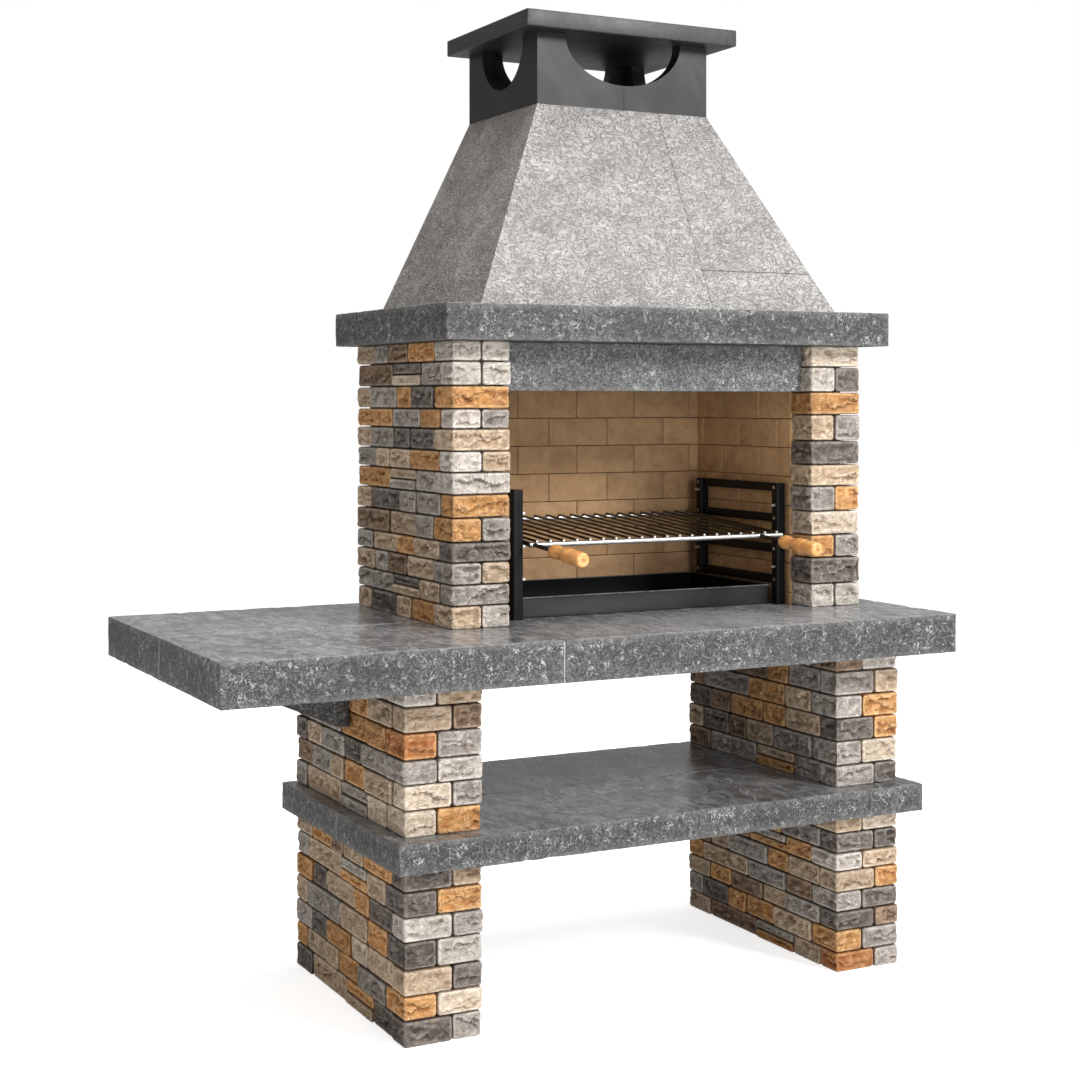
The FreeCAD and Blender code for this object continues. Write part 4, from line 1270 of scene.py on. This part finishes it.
@dataclass(frozen=True)
class CookingGrate:
    """Bright bars, rods and turned wooden handles of the sliding grate.

    The turning gives shares of the handle's length and radius, and 1 where a ring is dark.
    """

    slope: float = math.radians(4.0)
    sawn: float = 0.005
    chamfer: float = 0.0006
    bar_rounding: float = 0.0042
    bar_wear: float = 0.0001
    sides: int = 20
    handle_sides: int = 40
    turning: tuple[tuple[float, float, int], ...] = (
        (0.0, 0.22, 0), (0.0, 0.56, 1), (0.012, 0.68, 0), (0.03, 0.78, 0), (0.06, 0.87, 0), (0.10, 0.925, 0),
        (0.15, 0.935, 0), (0.20, 0.90, 0), (0.25, 0.81, 0), (0.29, 0.735, 0), (0.325, 0.705, 0), (0.36, 0.735, 0),
        (0.40, 0.82, 0), (0.45, 0.925, 0), (0.50, 0.98, 0), (0.55, 1.0, 0), (0.62, 0.99, 0), (0.67, 0.965, 0),
        (0.685, 0.93, 1), (0.692, 0.90, 1), (0.70, 0.93, 1), (0.715, 0.955, 0), (0.80, 0.965, 0), (0.90, 0.955, 0),
        (0.955, 0.93, 0), (0.98, 0.885, 0), (0.995, 0.81, 0), (1.0, 0.72, 0), (1.0, 0.30, 0), (0.998, 0.20, 1),
        (0.985, 0.16, 1), (0.98, 0.04, 1))

    @property
    def axis(self) -> Array:
        """Direction of the rods, up to the back."""
        return np.array([0.0, math.cos(self.slope), math.sin(self.slope)])

    @staticmethod
    def measure(solid: Array, axis: Array) -> tuple[Array, float, float]:
        """Return a construction rod's start along an axis, its length and its radius."""
        along = solid @ axis
        middle = (solid.min(axis=0) + solid.max(axis=0)) / 2.0
        start = middle + axis * (along.min() - middle @ axis)
        return start, float(np.ptp(along)), float(np.ptp(solid[:, 0])) / 2.0

    def rod(self, solid: Array) -> tuple[Array, Faces, Array]:
        """Build one round rod with eased, bright ends in place of a construction rod."""
        start, length, radius = self.measure(solid, self.axis)
        ease = self.chamfer
        marks = ((0.0, radius - ease, 1.0), (ease, radius, 1.0), (self.sawn, radius, 1.0),
                 (self.sawn + ease, radius, 0.0), (length - ease, radius, 0.0), (length, radius - ease, 0.0))
        points, faces = lathe(start, self.axis, [mark[:2] for mark in marks], self.sides)
        return points, faces, np.repeat([mark[2] for mark in marks], self.sides)

    def handle(self, solid: Array) -> tuple[Array, Faces, Array]:
        """Build one turned handle: bulb, waist, long swell, ring and round end."""
        start, length, radius = self.measure(solid, -self.axis)
        profile = [(length * along, radius * share) for along, share, _ in self.turning]
        points, faces = lathe(start, -self.axis, profile, self.handle_sides)
        return points, faces, np.repeat([float(mark[2]) for mark in self.turning], self.handle_sides)

    def build(self, nodes: Nodes, bright: Material, dull: Material, wood: Material) -> None:
        """Build the rods, the handle rods, the rear bar and the handles, and dress the other bars."""
        for node in ("grate_rods", "grate_handle_rods"):
            builder = MeshBuilder()
            for solid in islands(nodes[node]):
                builder.add(*self.rod(solid))
            builder.piece(node, "plated", GRATE, "bright_steel", dull)
        dress(nodes, bright, "grate_front_bar")
        shell = rounded_block(*corners("grate_rear_bar"), self.bar_rounding, COARSE, self.bar_wear)
        MeshBuilder().add(*shell).piece("grate_rear_bar", "plated", GRATE, "bright_steel", bright)
        dress(nodes, dull, "grate_side_bars")
        for node in ("left_grate_handle", "right_grate_handle"):
            shell = self.handle(islands(nodes[node])[0])
            MeshBuilder().add(*shell).piece(node, "turned", GRATE, "varnished_wood", wood)


@dataclass(frozen=True)
class CharcoalTray:
    """Folded black tray with rounded corners and a rolled rim."""

    wall: float = 0.003
    flare: float = 0.002
    rim: float = 0.004
    corner: float = 0.012
    corner_steps: int = 6

    def ring(self, low: Array, high: Array, inset: float, z: float) -> Array:
        """Return one level of the tray's rounded plan, drawn in by the inset."""
        radius = max(self.corner - inset, 0.002)
        middle = (low + high) / 2.0
        points = []
        for quarter, (right, back) in enumerate(((1, 1), (0, 1), (0, 0), (1, 0))):
            x, y = (high if right else low)[0], (high if back else low)[1]
            cx = x - math.copysign(inset + radius, x - middle[0])
            cy = y - math.copysign(inset + radius, y - middle[1])
            for i in range(self.corner_steps + 1):
                turn = (quarter + i / self.corner_steps) * math.pi / 2.0
                points.append((cx + radius * math.cos(turn), cy + radius * math.sin(turn), z))
        return np.array(points)

    def build(self, black: Material) -> None:
        """Build the tray from its outer floor over the rim to its inner floor."""
        low, high = corners("charcoal_tray")
        bottom, top = float(low[2]), float(high[2])
        rim, foot = self.rim, self.rim + self.flare
        inner, floor = foot + self.wall, bottom + self.wall
        levels = ((foot + 0.004, bottom), (foot + 0.0012, bottom + 0.0008), (foot, bottom + 0.003),
                  (rim + 0.0006, top - 0.005), (rim - 0.001, top - 0.0036), (0.0012, top - 0.003),
                  (0.0002, top - 0.0022), (0.0002, top - 0.0008), (0.0012, top), (rim + 0.0012, top),
                  (rim + 0.0026, top - 0.0008), (rim + self.wall, top - 0.003), (inner, floor + 0.004),
                  (inner + 0.0014, floor + 0.001), (inner + 0.005, floor))
        rings = [self.ring(low, high, inset, z) for inset, z in levels]
        size = len(rings[0])
        # Painted highlight: the rings of the rolled rim carry edge values, which the tray's paint pales at full
        # strength into a light line.
        edge = np.repeat([1.0 if 5 <= i <= 9 else 0.0 for i in range(len(rings))], size)
        soot = np.repeat([1.0 if i > 10 else 0.0 for i in range(len(rings))], size)
        tray = MeshBuilder().add(np.concatenate(rings), ring_faces(len(rings), size), edge, soot)
        tray.piece("charcoal_tray", "folded", TRAY, "black_steel", black)


@dataclass(frozen=True)
class Studio:
    """White studio floor, soft light and the photograph's viewpoint."""

    eye: Point = (-2.0717, -4.0478, 1.4323)
    yaw: float = 0.4759
    lens: float = 61.28
    drop: float = -0.1299
    floor_size: float = 60.0
    floor_tone: float = 0.92
    floor_glow: float = 0.66
    sky_light: float = 0.38

    def floor(self) -> None:
        """Lay the pale floor."""
        mesh = bpy.data.meshes.new("studio_floor")
        half = self.floor_size / 2.0
        mesh.from_pydata([(-half, -half, 0.0), (half, -half, 0.0), (half, half, 0.0), (-half, half, 0.0)], [],
                         [(0, 1, 2, 3)])
        material = bpy.data.materials.new("studio_floor")
        material.use_nodes = True
        graph = Graph(material.node_tree)
        eye = graph.node("LightPath").outputs["Is Camera Ray"]
        graph.fill(material.node_tree.nodes["Principled BSDF"], {
            "Base Color": (self.floor_tone,) * 3, "Roughness": 0.9, "Emission Color": WHITE,
            "Emission Strength": graph.times(eye, self.floor_glow)})
        mesh.materials.append(material)
        floor = bpy.data.objects.new("studio_floor", mesh)
        bpy.context.scene.collection.objects.link(floor)

    def world(self) -> None:
        """Set the white surroundings: full white for the eye, softer as light."""
        world = bpy.data.worlds.new("studio_world")
        world.use_nodes = True
        graph = Graph(world.node_tree)
        eye = graph.node("LightPath").outputs["Is Camera Ray"]
        graph.fill(world.node_tree.nodes["Background"],
                   {"Color": WHITE, "Strength": graph.ramp(eye, self.sky_light, 1.0)})
        bpy.context.scene.world = world

    @staticmethod
    def lamp(name: str, place: Point, aim: Point, size: float, power: float, tint: Colour = WHITE) -> None:
        """Hang one soft square light.

        Args:
            name: its name.
            place: where it hangs.
            aim: point that it faces.
            size: its side.
            power: its power in watts.
            tint: its colour.
        """
        light = bpy.data.lights.new(name, "AREA")
        light.size, light.energy, light.color = size, power, tint
        lamp = bpy.data.objects.new(name, light)
        lamp.location = place
        lamp.rotation_euler = (Vector(aim) - Vector(place)).to_track_quat("-Z", "Y").to_euler()
        bpy.context.scene.collection.objects.link(lamp)

    def camera(self) -> None:
        """Stand the camera where the photograph was taken."""
        view = bpy.data.cameras.new("photo_view")
        view.sensor_width = 36.0
        view.lens = self.lens
        view.shift_y = self.drop
        camera = bpy.data.objects.new("photo_view", view)
        camera.location = self.eye
        camera.rotation_euler = (math.pi / 2.0, 0.0, -self.yaw)
        bpy.context.scene.collection.objects.link(camera)
        bpy.context.scene.camera = camera

    def build(self) -> None:
        """Set up the studio."""
        self.floor()
        self.world()
        self.lamp("key", (3.3, -6.2, 4.6), (0.2, 0.0, 1.1), 1.9, 560.0)
        self.lamp("front", (-0.3, -6.5, 1.5), (0.1, 0.0, 1.2), 2.6, 145.0)
        self.lamp("top", (0.0, -0.4, 5.8), (0.0, 0.0, 0.5), 3.0, 230.0)
        self.lamp("left_fill", (-5.0, -2.0, 2.4), (0.0, 0.0, 1.0), 3.0, 38.0, (1.0, 0.88, 0.76))
        bpy.context.scene.view_settings.view_transform = "Standard"
        self.camera()


def tone_materials() -> dict[Tone, Material]:
    """Return the material of each tone of facing stone, from its base, deep and pale colours."""
    rows = {
        Tone.PALE: ((0.47, 0.425, 0.375), (0.34, 0.300, 0.262), (0.66, 0.615, 0.56)),
        Tone.GREY: ((0.30, 0.268, 0.240), (0.185, 0.160, 0.141), (0.50, 0.455, 0.415)),
        Tone.DARK: ((0.130, 0.108, 0.094), (0.062, 0.051, 0.044), (0.29, 0.255, 0.228)),
        Tone.BUFF: ((0.45, 0.330, 0.220), (0.30, 0.205, 0.128), (0.63, 0.52, 0.395)),
        Tone.CREAM: ((0.56, 0.465, 0.362), (0.42, 0.325, 0.235), (0.72, 0.64, 0.54)),
        Tone.OCHRE: ((0.50, 0.245, 0.080), (0.31, 0.132, 0.042), (0.66, 0.42, 0.21)),
        Tone.RUST: ((0.41, 0.155, 0.046), (0.24, 0.082, 0.025), (0.58, 0.32, 0.15)),
        Tone.BROWN: ((0.21, 0.132, 0.083), (0.105, 0.062, 0.040), (0.40, 0.295, 0.21)),
    }
    return {tone: RockFinish(f"{tone.name.lower()}_split_stone", *colours).material()
            for tone, colours in rows.items()}


def main() -> None:
    """Dress the barbecue from the ground up, then set up the studio."""
    logging.basicConfig(level=logging.INFO)
    nodes: Nodes = frame["nodes"]
    seams = tuple((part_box(name)[1][2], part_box(name)[0][1]) for name in ("worktop_rear_left_slab", "shelf_rear_slab"))
    finishes = (
        MortarFinish("rough_concrete", (0.34, 0.33, 0.31), (0.20, 0.195, 0.185)),
        # The grout's third colour is painted shade on its left faces.
        MortarFinish("cream_grout", (0.46, 0.45, 0.42), (0.32, 0.31, 0.29), (0.14, 0.136, 0.13)),
        LimestoneFinish("dark_limestone", seams=seams),
        # Painted light: a paler copy of the dark limestone for the lintel, which sits in the mantel's shadow.
        LimestoneFinish("lit_lintel_limestone", (0.066, 0.066, 0.066), (0.040, 0.040, 0.040), fleck=(0.26, 0.26, 0.258)),
        BrickFinish("buff_firebrick"),
        # Painted light: a paler copy of the firebrick for the side walls.
        BrickFinish("lit_side_firebrick", (0.57, 0.345, 0.166), (0.45, 0.260, 0.116), (0.72, 0.47, 0.255)),
        GraniteFinish("light_granite"),
        # Painted shade: a darker, more contrasting copy of the light granite for the hood's left panel.
        GraniteFinish("shaded_left_granite", (0.165, 0.150, 0.138), (0.055, 0.048, 0.043), (0.46, 0.430, 0.402)),
        PaintFinish("charcoal_paint", (0.010, 0.010, 0.0104), (0.0155, 0.0155, 0.016), 0.46, 0.32),
        PaintFinish("rack_paint", (0.0025, 0.0025, 0.003), (0.004, 0.004, 0.0045), 0.42, 0.16),
        # The tray's paint pales its rim at full strength: a painted highlight.
        PaintFinish("black_paint", (0.013, 0.013, 0.0145), (0.022, 0.022, 0.024), 0.34, 0.45, 1.0),
        SteelFinish("zinc_plate", (0.72, 0.72, 0.72), (0.55, 0.55, 0.56), 0.25),
        SteelFinish("bright_plate", (0.56, 0.56, 0.55), (0.40, 0.395, 0.39), 0.30),
        SteelFinish("dull_plate", (0.10, 0.098, 0.095), (0.055, 0.053, 0.052), 0.3),
        WoodFinish("honey_wood"),
    )
    looks = {finish.name: finish.material() for finish in finishes}
    concrete = looks["rough_concrete"]
    StoneWork().build(nodes, tone_materials(), concrete)
    Slabs().build(nodes, looks["dark_limestone"], looks["lit_lintel_limestone"], looks["cream_grout"])
    Firebox().build(nodes, looks["buff_firebrick"], looks["lit_side_firebrick"], concrete)
    HoodAndCap().build(nodes, looks["light_granite"], looks["shaded_left_granite"], looks["charcoal_paint"], concrete)
    Racks().build(nodes, looks["rack_paint"], looks["zinc_plate"])
    CookingGrate().build(nodes, looks["bright_plate"], looks["dull_plate"], looks["honey_wood"])
    CharcoalTray().build(looks["black_paint"])
    Studio().build()


if __name__ == "__main__":
    main()
